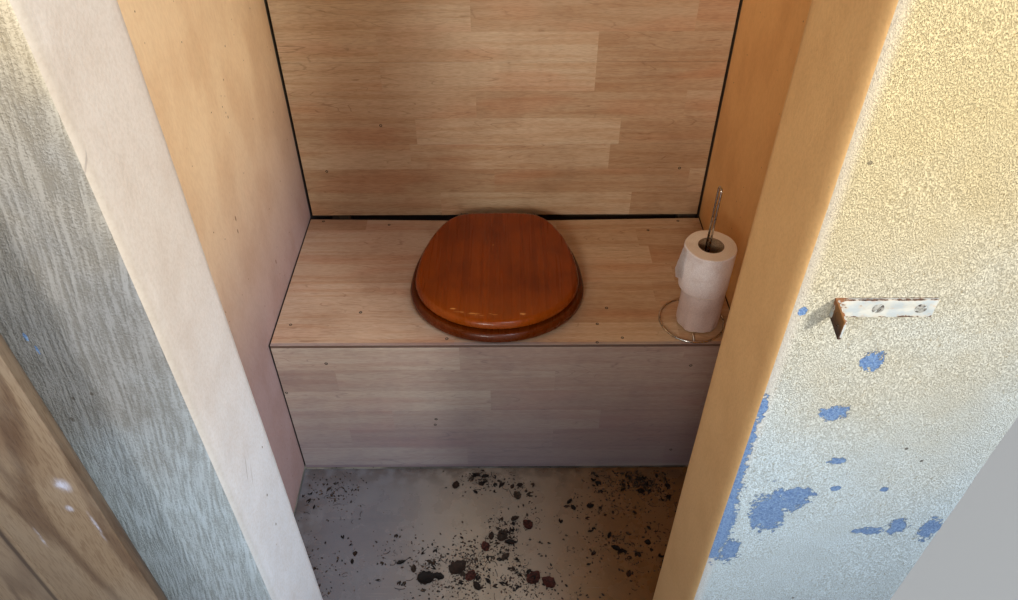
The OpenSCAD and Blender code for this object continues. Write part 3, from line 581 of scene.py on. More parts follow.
# Painted shade: the left part of the bench top is painted darker and cooler
bench_left_painted_shade = maple.times(maple.fade(maple.z, bench_top - 0.001, bench_top - 0.0004), maple.rest(on_wall))
bench_left_painted_shade = maple.times(bench_left_painted_shade, maple.fade(maple.x, 0.25, -0.1))
base_tone = maple.darken(maple.times(bench_left_painted_shade, 0.9), base_tone, (232, 228, 240))
maple.relief(pores, 0.00012)
maple_laminate = maple.done(base_tone, maple.sum(maple.fade(grime, 0, 1, 0.18), 0.34))

chance = random.Random(11)


def lay_strips(name, node, across, start, printed):
    """Stands for a CAD plank: the same solid with the printed strips marked on it. across is
    the axis over the strips, which are counted from start; printed gives the first butt
    joint of a strip, and the tones from left to right."""
    shape = solid_of(node)
    for side in (-1, 1):
        end = max(abs(v.co.x) for v in shape.verts) - plank_end_gap
        cut = bmesh.ops.bisect_plane(shape, geom=shape.verts[:] + shape.edges[:] + shape.faces[:],
                                     plane_co=(side * end, 0, 0), plane_no=(side, 0, 0), clear_outer=True)
        bmesh.ops.holes_fill(shape, edges=[e for e in cut["geom_cut"] if isinstance(e, bmesh.types.BMEdge)],
                             sides=0)
    mesh = as_mesh(shape, name)
    mesh.shade_smooth()
    piece = link(name, mesh, maple_laminate)
    easing = piece.modifiers.new("easing", "BEVEL")
    easing.width, easing.segments, easing.harden_normals = 0.0006, 2, False
    easing.limit_method, easing.angle_limit = "ANGLE", math.radians(40)
    finished(piece)
    shape = bmesh.new()
    shape.from_mesh(piece.data)

    def split(point, way):
        bmesh.ops.bisect_plane(shape, geom=shape.verts[:] + shape.edges[:] + shape.faces[:],
                               plane_co=point, plane_no=way)

    low = min(v.co[across] for v in shape.verts)
    high = max(v.co[across] for v in shape.verts)
    first, last = math.floor((low - start) / strip_width), math.ceil((high - start) / strip_width)
    strips = {}
    for count in range(first, last):
        if count in printed:
            joint, tones = printed[count]
        else:
            joint, tones = chance.uniform(-0.4, 0.05), [chance.uniform(-0.7, 0.7) for _ in range(3)]
        strips[count] = joint, tones, [chance.random() for _ in range(5)]
        way = Vector((0, 0, 0))
        way[across] = 1
        split(way * (start + count * strip_width), way)
    for joint, _, _ in strips.values():
        for k in range(-1, 3):
            split((joint + k * strip_run, 0, 0), (1, 0, 0))
    tone_mark = shape.faces.layers.float.new("tone")
    figure_mark = shape.faces.layers.float.get("figure")
    for face in shape.faces:
        middle = face.calc_center_median()
        row = math.floor((middle[across] - start) / strip_width)
        joint, tones, figures = strips[min(max(row, first), last - 1)]
        run = min(max(math.floor((middle.x - joint) / strip_run) + 1, 0), 3)
        face[tone_mark] = tones[min(run, len(tones) - 1)]
        face[figure_mark] = figures[run]
        face.smooth = False
    shape.to_mesh(piece.data)
    shape.free()
    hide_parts(node)
    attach(piece, "house")


bench_strips = {6: (-0.330, (-0.5, 0.1, -0.1)), 5: (-0.143, (0.35, 0.1, -0.2)),
                4: (-0.122, (0.2, 0.3, -0.4)), 3: (-0.082, (0.15, 0, -0.3)),
                2: (-0.134, (0.45, -0.1, -0.3)), 1: (-0.125, (0.3, -0.35, -0.3)),
                0: (-0.102, (0.5, 0.2, -0.1)), -1: (-0.204, (0.4, 0.1, -0.2))}
bench_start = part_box("bench_top_middle")[0].y - 3 * strip_width
for name, node in (("laminate_top_front", "bench_top_front"), ("laminate_top_middle", "bench_top_middle"),
                   ("laminate_top_back", "bench_top_back")):
    lay_strips(name, node, 1, bench_start, bench_strips)

front_strips = {5: (-0.093, (0.5, 0, -0.25)), 4: (-0.350, (-0.25, 0.1, -0.1)),
                3: (-0.032, (0.8, -0.1, -0.3)), 2: (-0.246, (0.3, 0.1, -0.25)),
                1: (-0.347, (0.1, -0.1, -0.4)), 0: (-0.089, (0.6, -0.05, -0.3))}
front_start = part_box("bench_front_upper")[1].z - 6 * strip_width
for name, node in (("laminate_front_upper", "bench_front_upper"),
                   ("laminate_front_lower", "bench_front_lower")):
    lay_strips(name, node, 2, front_start, front_strips)

back_strips = {0: (-0.152, (0.1, 0.45, -0.3)), 1: (-0.024, (-0.1, -0.15, 0.1)),
               2: (-0.214, (0.35, 0.3, -0.4)), 3: (-0.196, (0, 0.55, -0.3)),
               4: (-0.061, (0.25, -0.15, 0)), 5: (-0.260, (0.5, 0.45, -0.25)),
               6: (-0.260, (0.75, 0.5, -0.25)), 7: (-0.067, (0.6, -0.15, -0.3)),
               8: (-0.148, (0.4, 0.1, -0.2))}
lay_strips("laminate_back", "back_planks", 2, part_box("back_planks")[0].z, back_strips)


# Seat ring and lid
# Two egg-shaped boards of stained hardwood, cut straight at the back, bullnosed all round and
# varnished. The ring lies on rubber pads, and the lid turns up on a pin behind it.
seat_low, seat_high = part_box("seat_ring")
lid_low, lid_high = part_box("seat_lid")
seat_x = (seat_low.x + seat_high.x) / 2
nose = 0.160
seat_y = seat_low.y + nose
mouth_half_x, mouth_half_y = 0.1045, 0.1275
mouth_y = seat_low.y + 0.073 + mouth_half_y
seat_steps = 160


def egg(angle, half_width, front, back, cut):
    """Distance of the seat's edge from its middle: an oval, cut off at the back with rounded
    corners."""
    c, s = math.cos(angle), math.sin(angle)
    oval = 1 / math.hypot(c / half_width, s / (front if s < 0 else back))
    line = (cut ** -16 - back ** -16) ** (-1 / 16)
    edge = line / s if s > 0.05 else 10
    return (oval ** -16 + edge ** -16) ** (-1 / 16)


def rounded(radius, height, start, stop, steps):
    """Inset and height of points along a rounded edge."""
    turns = [math.radians(start + (stop - start) * i / steps) for i in range(steps + 1)]
    return [(radius - radius * math.cos(a), height + radius * math.sin(a)) for a in turns]


ring_reach = seat_high.x - seat_x
ring_cut = seat_high.y - seat_y
fullness = 1.19
ring_high = seat_high.z - seat_low.z
ring_outer = rounded(0.006, 0.006, -90, 0, 5) + rounded(0.010, ring_high - 0.010, 0, 90, 10)
ring_inner = rounded(0.010, ring_high - 0.010, 90, 0, 9) + rounded(0.006, 0.006, 0, -90, 4)
ring = bmesh.new()
hoops = []
for i in range(seat_steps):
    a = math.tau * i / seat_steps
    outer_r = egg(a, ring_reach, nose, ring_cut * fullness, ring_cut)
    inner_r = 1 / math.hypot(math.cos(a) / mouth_half_x, math.sin(a) / mouth_half_y)
    hoop = [ring.verts.new((seat_x + (outer_r - inset) * math.cos(a),
                            seat_y + (outer_r - inset) * math.sin(a),
                            seat_low.z + z)) for inset, z in ring_outer]
    hoop += [ring.verts.new((seat_x + (inner_r + inset) * math.cos(a),
                             mouth_y + (inner_r + inset) * math.sin(a),
                             seat_low.z + z)) for inset, z in ring_inner]
    hoops.append(hoop)
for i in range(seat_steps):
    here, there = hoops[i], hoops[(i + 1) % seat_steps]
    for k in range(len(here)):
        m = (k + 1) % len(here)
        ring.faces.new((here[k], there[k], there[m], here[m])).smooth = True
bmesh.ops.recalc_face_normals(ring, faces=ring.faces)

inset_of_lid = seat_high.x - lid_high.x
lid_thick = lid_high.z - lid_low.z
lid_edge = rounded(0.004, 0.004, -90, 0, 4) + rounded(0.012, lid_thick - 0.012, 0, 90, 12)
lid = bmesh.new()
rows = [[] for _ in range(len(lid_edge) + 14)]
for i in range(seat_steps):
    a = math.tau * i / seat_steps
    r = egg(a, ring_reach - inset_of_lid, nose - inset_of_lid, ring_cut * fullness, ring_cut)
    inner = [(1 - k / 8, lid_edge[0][1]) for k in range(7, 0, -1)]
    outer = [(1 - k / 8, lid_edge[-1][1]) for k in range(1, 8)]
    reach = ([((r - lid_edge[0][0]) * t, z) for t, z in inner] + [(r - inset, z) for inset, z in lid_edge]
             + [((r - lid_edge[-1][0]) * t, z) for t, z in outer])
    for row, (rr, z) in zip(rows, reach):
        row.append(lid.verts.new((seat_x + rr * math.cos(a), seat_y + rr * math.sin(a), lid_low.z + z)))
for k in range(len(rows) - 1):
    for i in range(seat_steps):
        j = (i + 1) % seat_steps
        lid.faces.new((rows[k][i], rows[k][j], rows[k + 1][j], rows[k + 1][i])).smooth = True
for row in (rows[0], rows[-1]):
    hub = lid.verts.new(sum((v.co for v in row), Vector()) / seat_steps)
    for i in range(seat_steps):
        lid.faces.new((row[i], row[(i + 1) % seat_steps], hub)).smooth = True
bmesh.ops.recalc_face_normals(lid, faces=lid.faces)

varnish = Finish("varnished_hardwood", 0.34, Specular_IOR_Level=0.22, Coat_Weight=0.14, Coat_Roughness=0.12)
grain = varnish.cloud(0.0022, at=varnish.drawn(1, 14, 1), detail=3, rough=0.65)
broad = varnish.cloud(0.012, at=varnish.drawn(1, 40, 1), detail=3)
red = varnish.mix(varnish.fade(broad, 0.3, 0.7), (128, 53, 4), (142, 62, 6))
red = varnish.mix(varnish.fade(grain, 0.6, 0.36, 0.24), red, (88, 32, 2))
stain = varnish.fade(varnish.cloud(0.07, at=varnish.drawn(1, 1.3, 1), detail=3), 0.42, 0.68)
red = varnish.mix(varnish.times(stain, 0.4), red, (88, 30, 3))
# Painted light: the seat is painted paler and more orange towards its front edge
front_light = varnish.fade(varnish.y, seat_low.y + 0.132, seat_low.y + 0.032)
red = varnish.mix(varnish.times(front_light, 0.35), red, (172, 84, 14))
# Painted shade on the ring below the lid
red = varnish.darken(varnish.times(varnish.fade(varnish.z, lid_low.z + 0.001, lid_low.z - 0.003), 0.75),
                     red, (120, 100, 92))
slanted = varnish.sum(varnish.y, varnish.times(varnish.x, 0.18))
nick = varnish.nearest(varnish.x, slanted, [
    (x, y + 0.18 * x, wide, deep) for x, y, wide, deep in (
        (-0.070, 0.046, 0.034, 0.004), (-0.104, 0.060, 0.008, 0.003), (0.035, 0.044, 0.012, 0.003),
        (-0.024, 0.044, 0.010, 0.002), (-0.026, 0.264, 0.002, 0.006))])
splintered = varnish.fade(varnish.cloud(0.004, at=varnish.drawn(4, 1, 1)), 0.46, 0.56)
chipped = varnish.times(varnish.fade(nick, 1.1, 0.5), splintered)
red = varnish.mix(varnish.times(chipped, 0.9), red, (222, 160, 88))
varnish.relief(grain, 0.00015)
varnished = varnish.done(red, varnish.sum(varnish.fade(broad, 0.3, 0.7, 0.12),
                                          varnish.sum(varnish.times(chipped, 0.3), 0.22)))

for name, made, node, body in (("varnished_ring", ring, "seat_ring", "house"),
                               ("varnished_lid", lid, "seat_lid", "lid")):
    piece = link(name, as_mesh(made, name), varnished)
    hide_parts(node)
    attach(piece, body)


# Pads and hinge of the seat
# Black rubber pads under the ring and the lid, and steel straps, posts and pin of a dark
# finish.
pad = Finish("pad_rubber", 0.75)
pad.relief(pad.cloud(0.0012), 0.0002)
pad_rubber = pad.done(pad.mix(pad.fade(pad.cloud(0.006), 0.4, 0.6), (34, 32, 31), (58, 55, 52)))
eased("ring_pads", 0.001, pad_rubber, slot="rubber", smooth_under=60)
eased("lid_pads", 0.0007, pad_rubber, body="lid", slot="rubber", smooth_under=60)

zinc = Finish("plated_steel", 0.32, Metallic=1.0)
dull = zinc.fade(zinc.cloud(0.008, detail=4), 0.4, 0.68)
zinc.relief(zinc.cloud(0.0007, at=zinc.drawn(8, 1, 1)), 0.00005)
plated = zinc.done(zinc.mix(dull, (196, 196, 194), (132, 128, 122)), zinc.sum(zinc.times(dull, 0.25), 0.25))
dark_metal = Finish("tarnished_steel", 0.5, Metallic=0.8)
steel_patches = dark_metal.fade(dark_metal.cloud(0.006, detail=4), 0.4, 0.66)
dark_steel_finish = dark_metal.done(dark_metal.mix(steel_patches, (112, 104, 94), (62, 54, 48)),
                       dark_metal.sum(dark_metal.times(steel_patches, 0.2), 0.42))
eased("ring_hinge_straps", 0.0005, dark_steel_finish, slot="steel", smooth_under=50)
eased("lid_hinge_straps", 0.0005, dark_steel_finish, body="lid", slot="steel", smooth_under=50)
eased("seat_hinge_posts", 0.0006, dark_steel_finish, slot="steel", smooth_under=50)
eased("seat_hinge_pin", 0.0008, dark_steel_finish, slot="steel", smooth_under=50)


# Paper stand
# Chromed wire, 4 mm thick: a foot ring, a bar welded across it from front to back, and a tall
# loop on the middle of the bar that carries the rolls. It stands loose on the bench.
def tubes(name, runs, radius, *materials, sides=16):
    """Round bar along each run of points. A run that ends where it starts is closed."""
    shape = bmesh.new()
    for run in runs:
        closed = (run[0] - run[-1]).length < 1e-6
        points = run[:-1] if closed else run
        count = len(points)
        first_way = (points[1] - points[0]).normalized()
        side = first_way.orthogonal().normalized()
        hoops = []
        for i, here in enumerate(points):
            before = points[i - 1] if closed or i else here
            after = points[(i + 1) % count] if closed or i < count - 1 else here
            way = (after - before).normalized()
            side = (side - way * side.dot(way)).normalized()
            up = way.cross(side)
            turns = [math.tau * k / sides for k in range(sides)]
            hoops.append([shape.verts.new(here + radius * (math.cos(t) * side + math.sin(t) * up))
                          for t in turns])
        for i in range(count if closed else count - 1):
            here, there = hoops[i], hoops[(i + 1) % count]
            for k in range(sides):
                m = (k + 1) % sides
                shape.faces.new((here[k], here[m], there[m], there[k])).smooth = True
        for hoop, hub in () if closed else ((hoops[0], points[0]), (hoops[-1], points[-1])):
            middle = shape.verts.new(hub)
            for k in range(sides):
                shape.faces.new((hoop[k], hoop[(k + 1) % sides], middle))
    bmesh.ops.recalc_face_normals(shape, faces=shape.faces)
    return link(name, as_mesh(shape, name), *materials)


def arc(middle, across, up, radius, start, stop, steps):
    """Points on an arc, whose angle is counted from across towards up, in degrees."""
    turns = [math.radians(start + (stop - start) * i / steps) for i in range(steps + 1)]
    return [middle + radius * (math.cos(t) * across + math.sin(t) * up) for t in turns]


right, inward, upward = Vector((1, 0, 0)), Vector((0, 1, 0)), Vector((0, 0, 1))
wire = 0.002
loop_half = 0.007
stand_low, stand_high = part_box("roll_stand")
stand_x, stand_y = (stand_low.x + stand_high.x) / 2, (stand_low.y + stand_high.y) / 2
foot = Vector((stand_x, stand_y, stand_low.z + wire))
foot_radius = (stand_high.x - stand_low.x) / 2 - wire
loop_top = Vector((stand_x, stand_y, stand_high.z - wire - loop_half))
foot_ring = arc(foot, right, inward, foot_radius, 0, 360, 96)
foot_ring[-1] = foot_ring[0].copy()
bar_way = Vector((0.1, 0.995, 0)).normalized()
bar = [foot - bar_way * foot_radius, foot + bar_way * foot_radius]
loop_way = Vector((-0.1, 0.995, 0)).normalized()
loop = [foot + loop_way * loop_half] + arc(loop_top, loop_way, upward, loop_half, 0, 180, 20)
loop += [foot - loop_way * loop_half]

chrome = Finish("chromed_wire", 0.16, Metallic=1.0)
tarnish = chrome.fade(chrome.cloud(0.006, detail=4), 0.45, 0.7)
chromed = chrome.done(chrome.mix(tarnish, (200, 196, 188), (128, 112, 94)),
                      chrome.sum(chrome.times(tarnish, 0.3), 0.14))
stand = tubes("wire_stand", [foot_ring, bar, loop], wire, chromed)
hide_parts("roll_stand")
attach(stand, "house")


# Paper rolls
# Two rolls of soft white paper over the loop, finely embossed, wound on cores of brown board.
# The end of the upper one hangs off to the left, and the lower one is creased at its foot.
paper = Finish("soft_paper", 0.95)
emboss = paper.cloud(0.0045, at=paper.drawn(1, 1, 0.35), detail=2)
speckle = paper.fade(paper.cloud(0.002, detail=2), 0.4, 0.62)
white = paper.mix(speckle, (236, 228, 226), (248, 242, 240))
white = paper.darken(paper.times(paper.fade(paper.cloud(0.04, detail=3), 0.45, 0.7), 0.5), white,
                     (232, 222, 216))
half_way = sum(end.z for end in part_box("paper_rolls")) / 2
in_shade = paper.fade(paper.z, half_way + 0.06, half_way - 0.04, 0.95)
white = paper.darken(in_shade, white, (208, 188, 178))
wrinkles = paper.cloud(0.0045, at=paper.drawn(4, 4, 0.7), detail=2)
paper.relief(wrinkles, 0.0009)
paper.relief(emboss, 0.0007)
paper.relief(paper.cloud(0.02, detail=2), 0.0022)
soft_paper = paper.done(white)

# Neither roll hangs true on the loop: X of the middle of the lower one and of the upper one
low_x, high_x = stand_x + 0.011, stand_x + 0.006
wound = Finish("wound_edge", 0.95)
from_core = wound.add("CombineXYZ", {0: wound.sum(wound.x, -high_x), 1: wound.sum(wound.y, -stand_y), 2: 0})
radius_here = wound.add("VectorMath", {0: from_core.outputs[0]}, operation="LENGTH").outputs["Value"]
outward = wound.add("CombineXYZ", {0: radius_here, 1: 0, 2: 0}).outputs[0]
layers = wound.cloud(0.0007, at=outward, detail=2)
wound.relief(layers, 0.0006)
wound_edge = wound.done(wound.darken(wound.fade(layers, 0.55, 0.4, 0.3), (244, 230, 210), (214, 196, 176)))

board = Finish("core_board", 0.9)
board.relief(board.cloud(0.0012, detail=2), 0.0002)
core_board = board.done(board.mix(board.fade(board.cloud(0.004, at=board.drawn(1, 1, 0.4)), 0.4, 0.6),
                                  (120, 96, 70), (148, 120, 90)))

rolls_low, rolls_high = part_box("paper_rolls")
roll_gap = 0.0003
roll_high = (rolls_high.z - rolls_low.z - roll_gap) / 2
core_inner, core_wall = 0.023, 0.0014
roll_sides = 144


def roll_mesh(middle_x, low, radius, creases, seed):
    """One roll: the paper's side, its two wound edges and the core, as one closed skin."""
    shape = bmesh.new()
    profile = [(core_inner, t, 2) for t in (0, 0.5, 1)] + [(core_inner + core_wall, 1, 2)]
    span = radius - core_inner - core_wall
    top = [(core_inner + core_wall + span * k / 10, 1, 1) for k in range(1, 10)]
    side = [(radius, 1 - k / 44, 0) for k in range(1, 44)]
    profile += top + [(radius - 0.0012, 1, 1)] + side
    profile += [(radius - 0.0012, 0, 1)] + [(r, 0, m) for r, _, m in reversed(top)]
    profile += [(core_inner + core_wall, 0, 1)]
    hoops = []
    for i in range(roll_sides):
        a = math.tau * i / roll_sides
        hoop = []
        for r, t, _ in profile:
            swell = 0
            if r > radius - 0.002:
                wander = noise.noise(Vector((math.cos(a) * 1.6 + seed, math.sin(a) * 1.6, t * 1.4)))
                swell = 0.0014 * wander
                fold = noise.noise(Vector((a * 1.9 + seed, t * 1.1 - 0.35 * a, 3)))
                foot_share = max(0, 1 - t / 0.55) ** 1.5
                swell += creases * foot_share * (abs(fold) * 2.2 - 0.45)
            dip = 0
            if t in (0, 1) and r > 0.03:
                dip = 0.0010 * noise.noise(Vector((math.cos(a) * 2, math.sin(a) * 2, seed)))
            hoop.append(shape.verts.new((middle_x + (r + swell) * math.cos(a),
                                         stand_y + (r + swell) * math.sin(a),
                                         low + roll_high * t + (dip if t == 1 else abs(dip)))))
        hoops.append(hoop)
    for i in range(roll_sides):
        here, there = hoops[i], hoops[(i + 1) % roll_sides]
        for k in range(len(profile)):
            m = (k + 1) % len(profile)
            face = shape.faces.new((here[k], here[m], there[m], there[k]))
            face.smooth = True
            face.material_index = profile[m][2] if k else 2
    return shape


def add_flap(shape, middle_x, low, radius):
    """The loose end of the upper roll: a sheet that leaves the roll on its left and sags away
    from it, with a torn lower corner."""
    rows, columns = 20, 16
    leaves_at = math.radians(197)
    way = Vector((math.sin(leaves_at), -math.cos(leaves_at), 0))
    away = Vector((math.cos(leaves_at), math.sin(leaves_at), 0))
    start = Vector((middle_x, stand_y, 0)) + away * (radius + 0.0008)
    grid = []
    for i in range(rows + 1):
        down = i / rows
        reach = 0.013 + 0.015 * down * (1 - max(0, down - 0.80) * 3.6)
        line = []
        for k in range(columns + 1):
            out = k / columns
            back = start + way * reach * out
            ripple = 0.0003 * math.sin(i * 1.3 + k * 0.8)
            lift = away * (0.0006 + 0.002 * down * math.sin(math.pi * out * 0.5) + ripple)
            high = low + roll_high * (0.97 - 0.72 * down) - 0.006 * out * down
            line.append(shape.verts.new(back + lift + upward * high))
        grid.append(line)
    made = [shape.faces.new((grid[i][k], grid[i + 1][k], grid[i + 1][k + 1], grid[i][k + 1]))
            for i in range(rows) for k in range(columns)]
    for face in made:
        face.smooth = True
    bmesh.ops.solidify(shape, geom=made, thickness=0.0004)


low_roll, low_radius = rolls_low.z, 0.043
high_roll, high_radius = rolls_low.z + roll_high + roll_gap, 0.0495
for name, shape in (("paper_roll_low", roll_mesh(low_x, low_roll, low_radius - 0.0006, 0.0030, 5)),
                    ("paper_roll_high", roll_mesh(high_x, high_roll, high_radius - 0.0008, 0.0003, 17))):
    if name == "paper_roll_high":
        add_flap(shape, high_x, high_roll, high_radius)
    bmesh.ops.recalc_face_normals(shape, faces=shape.faces)
    roll = link(name, as_mesh(shape, name), soft_paper, wound_edge, core_board)
    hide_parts("paper_rolls")
    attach(roll, "house")


# Keeper
# Flat iron bent to an angle: the long leg is screwed to the front right of the doorway, and
# the short leg stands out, knocked down a little. Its white paint has chipped off along the
# edges and the short leg has rusted. A rusty plug stops the hole for the bolt, as painted shade
# where the wall behind would show.
def knocked_down(shape):
    """Bends the short leg of the keeper down towards its end."""
    for vert in shape.verts:
        out = max(0, front_y - 0.004 - vert.co.y)
        vert.co.z -= 0.26 * out
        vert.co.x += 0.03 * out


enamel = Finish("chipped_white_paint", 0.45)
keeper_low, keeper_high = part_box("keeper_bracket")
leg = enamel.fade(enamel.y, front_y - 0.004, front_y - 0.008)
inner_leg = enamel.times(leg, enamel.fade(enamel.x, keeper_low.x + 0.0022, keeper_low.x + 0.0008))
to_top = enamel.off(enamel.z, keeper_high.z)
to_front = enamel.off(enamel.y, front_y - 0.003)
to_wall = enamel.off(enamel.y, front_y)
front_arris = enamel.fade(enamel.calc("MAXIMUM", to_top, to_front), 0.0018, 0.0006)
wall_arris = enamel.fade(enamel.calc("MAXIMUM", to_top, to_wall), 0.0014, 0.0005)
foot_edge = enamel.fade(enamel.z, keeper_low.z + 0.003, keeper_low.z)
bend = enamel.fade(enamel.x, keeper_low.x + 0.018, keeper_low.x + 0.003)
corner_share = enamel.times(bend, enamel.fade(enamel.z, keeper_low.z + 0.004, keeper_high.z - 0.004))
edges = enamel.calc("MAXIMUM", enamel.times(front_arris, 0.22), enamel.times(foot_edge, 0.15))
edges = enamel.calc("MAXIMUM", edges, enamel.times(wall_arris, 0.4))
edges = enamel.calc("MAXIMUM", edges, enamel.times(corner_share, 0.20))
edges = enamel.sum(edges, enamel.times(inner_leg, 0.6))
flake = enamel.cloud(0.0045, at=enamel.drawn(1.8, 1, 1), detail=5, rough=0.65)
rusty = enamel.fade(enamel.sum(flake, edges), 0.66, 0.72)
rust = enamel.mix(enamel.fade(enamel.cloud(0.003, detail=4), 0.35, 0.65), (56, 35, 28), (96, 62, 44))
rust = enamel.mix(enamel.times(corner_share, 0.7), rust, (160, 104, 62))
foot_share = enamel.fade(enamel.z, keeper_high.z - 0.004, keeper_low.z - 0.002)
bare_leg = enamel.mix(foot_share, (124, 84, 36), (46, 26, 14))
rust = enamel.mix(enamel.times(inner_leg, 0.8), rust, bare_leg)
old_white = enamel.mix(enamel.fade(enamel.cloud(0.012, detail=3), 0.4, 0.65), (200, 199, 190),
                       (180, 187, 188))
halo = enamel.fade(enamel.sum(flake, edges), 0.56, 0.68)
old_white = enamel.mix(enamel.times(halo, 0.5), old_white, (204, 172, 136))
enamel.relief(enamel.rest(rusty), 0.0004)
enamel.relief(enamel.cloud(0.0015, detail=3), 0.0002)
chipped_white = enamel.done(enamel.mix(rusty, old_white, rust), enamel.sum(enamel.times(rusty, 0.4), 0.45))
eased("keeper_bracket", 0.0012, chipped_white, slot="white_iron", smooth_under=50, steps=3,
      reshape=knocked_down)
# A rusty plug stops the hole for the bolt: painted shade where the lit wall would show through
hole_y, hole_z = front_y - 0.014, 1.1114
hole_shade_plug = tubes("keeper_hole_rust",
                [[Vector((keeper_low.x + depth, hole_y, hole_z)) for depth in (0.0006, 0.0027)]],
                0.0056, chipped_white, sides=24)
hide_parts("keeper_bracket")
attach(hole_shade_plug, "house")


# Hinge hooks
# Forged plates on the front wall, left of the doorway, each with an arm and an upright pin
# that the door hangs on. They are painted black and have begun to rust.
iron = Finish("black_iron", 0.5)
scale_spots = iron.fade(iron.cloud(0.009, detail=5, rough=0.65), 0.54, 0.64)
black = iron.mix(iron.fade(iron.cloud(0.02, detail=3), 0.35, 0.65), (34, 33, 33), (52, 50, 48))
black = iron.mix(scale_spots, black, (104, 62, 38))
iron.relief(iron.cloud(0.0016, detail=4), 0.0003)
iron.relief(scale_spots, 0.0002)
black_iron = iron.done(black, iron.sum(iron.times(scale_spots, 0.35), 0.48))
eased("hinge_hooks", 0.001, black_iron, slot="black_iron", smooth_under=50)


# Door
# Seven upright pine boards, tongued and grooved with a V at each joint and screwed to three
# ledges. The wood was stained brown, has weathered, and bears pale blue scuffs near the hinge
# edge. Straps and pull are black iron, and the bolt is zinc-plated.
pine, pine_tone, pine_spot = softwood("weathered_pine", "z", (122, 104, 84), (88, 68, 50), 0.016, 0.35, 0.62)
blotch = pine.fade(pine.cloud(0.05, at=pine.drawn(1, 1, 2.5), detail=5, rough=0.65), 0.42, 0.68)
pine_tone = pine.mix(pine.times(blotch, 0.35), pine_tone, (134, 122, 108))
damp_brown = pine.fade(pine.cloud(0.11, at=pine.drawn(1, 1, 2), detail=3), 0.5, 0.7)
pine_tone = pine.darken(pine.times(damp_brown, 0.6), pine_tone, (190, 160, 136))
knot = pine.cells(0.16, at=pine.drawn(0.8, 3, 1.6, at=pine_spot))
pine_tone = pine.mix(pine.fade(knot, 0.10, 0.06), pine_tone, (70, 44, 30))
scuffed = pine.nearest(pine.x, pine.z, ((-0.440, 0.937, 0.008, 0.012), (-0.449, 0.896, 0.004, 0.006),
                                        (-0.433, 0.862, 0.0022, 0.026), (-0.501, 0.841, 0.002, 0.018)))
streaky = pine.cloud(0.006, at=pine.drawn(1, 1, 2.5), detail=4, rough=0.7)
scuffed = pine.times(pine.fade(scuffed, 1.4, 0.1), pine.fade(streaky, 0.32, 0.66))
pine_tone = pine.mix(pine.times(scuffed, 0.8), pine_tone, (182, 188, 212))
joint_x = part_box("door_board_1")[0].x
groove_dirt = pine.fade(pine.off(pine.x, joint_x), 0.004, 0.001)
pine_tone = pine.mix(pine.times(groove_dirt, 0.8), pine_tone, (40, 26, 18))
weathered_pine = pine.done(pine_tone, pine.sum(pine.times(blotch, 0.2), 0.55))


def worn_round(shape):
    """Rounds the arris of the hinge board that has rubbed on the front wall."""
    reach = max(vert.co.x for vert in shape.verts), max(vert.co.y for vert in shape.verts)
    rubbed = [edge for edge in shape.edges
              if all(abs(v.co.x - reach[0]) < 1e-4 and abs(v.co.y - reach[1]) < 1e-4 for v in edge.verts)]
    bmesh.ops.bevel(shape, geom=rubbed, offset=0.015, segments=8, profile=0.5, affect="EDGES")


for count in range(1, 8):
    eased("door_board_%d" % count, 0.0008, weathered_pine, body="door", slot="door_wood", smooth_under=25,
          reshape=worn_round if count == 1 else None)

ledge, ledge_tone, _ = softwood("weathered_pine_ledge", "x", (120, 100, 80), (86, 64, 46), 0.014, 0.35, 0.62)
ledge_pine = ledge.done(ledge_tone)
eased("door_ledges", 0.002, ledge_pine, body="door", slot="door_wood")
eased("hinge_straps", 0.0008, black_iron, body="door", slot="black_iron", smooth_under=50)
eased("latch_bolt", 0.0005, plated, body="door", slot="steel", smooth_under=50)

pull_low, pull_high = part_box("door_pull")
pull_radius = 0.005
pull_x = (pull_low.x + pull_high.x) / 2
pull_in, pull_out = pull_low.y, pull_high.y - pull_radius
bow = 0.016
pull_feet = pull_low.z + 0.015, pull_high.z - 0.015
handle = [Vector((pull_x, pull_in + 0.002, pull_feet[0]))]
handle += arc(Vector((pull_x, pull_out - bow, pull_feet[0] + bow)), inward, -upward, bow, 90, 0, 12)
handle += arc(Vector((pull_x, pull_out - bow, pull_feet[1] - bow)), inward, upward, bow, 0, 90, 12)
handle += [Vector((pull_x, pull_in + 0.002, pull_feet[1]))]
pull = tubes("door_handle", [handle], pull_radius, black_iron, sides=20)
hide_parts("door_pull")
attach(pull, "door")
roses = tubes("handle_roses", [[Vector((pull_x, pull_in + out, z)) for out in (0, 0.0008, 0.0024)]
                               for z in pull_feet], 0.015, black_iron, sides=40)
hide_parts("door_pull")
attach(roses, "door")


# Roof
# Four planed rafters laid on the walls, spaced boards across them and one sheet of corrugated
# zinc-coated steel, gone matt. Fascia and barge boards are stained like the door.
planed, planed_tone, _ = softwood("planed_softwood", "y", (202, 166, 120), (164, 114, 70), 0.014, 0.35)
planed_y = planed.done(planed_tone)
eased("rafters", 0.002, planed_y, slot="timber")
eased("roof_boards", 0.0015, sawn_x, slot="timber")

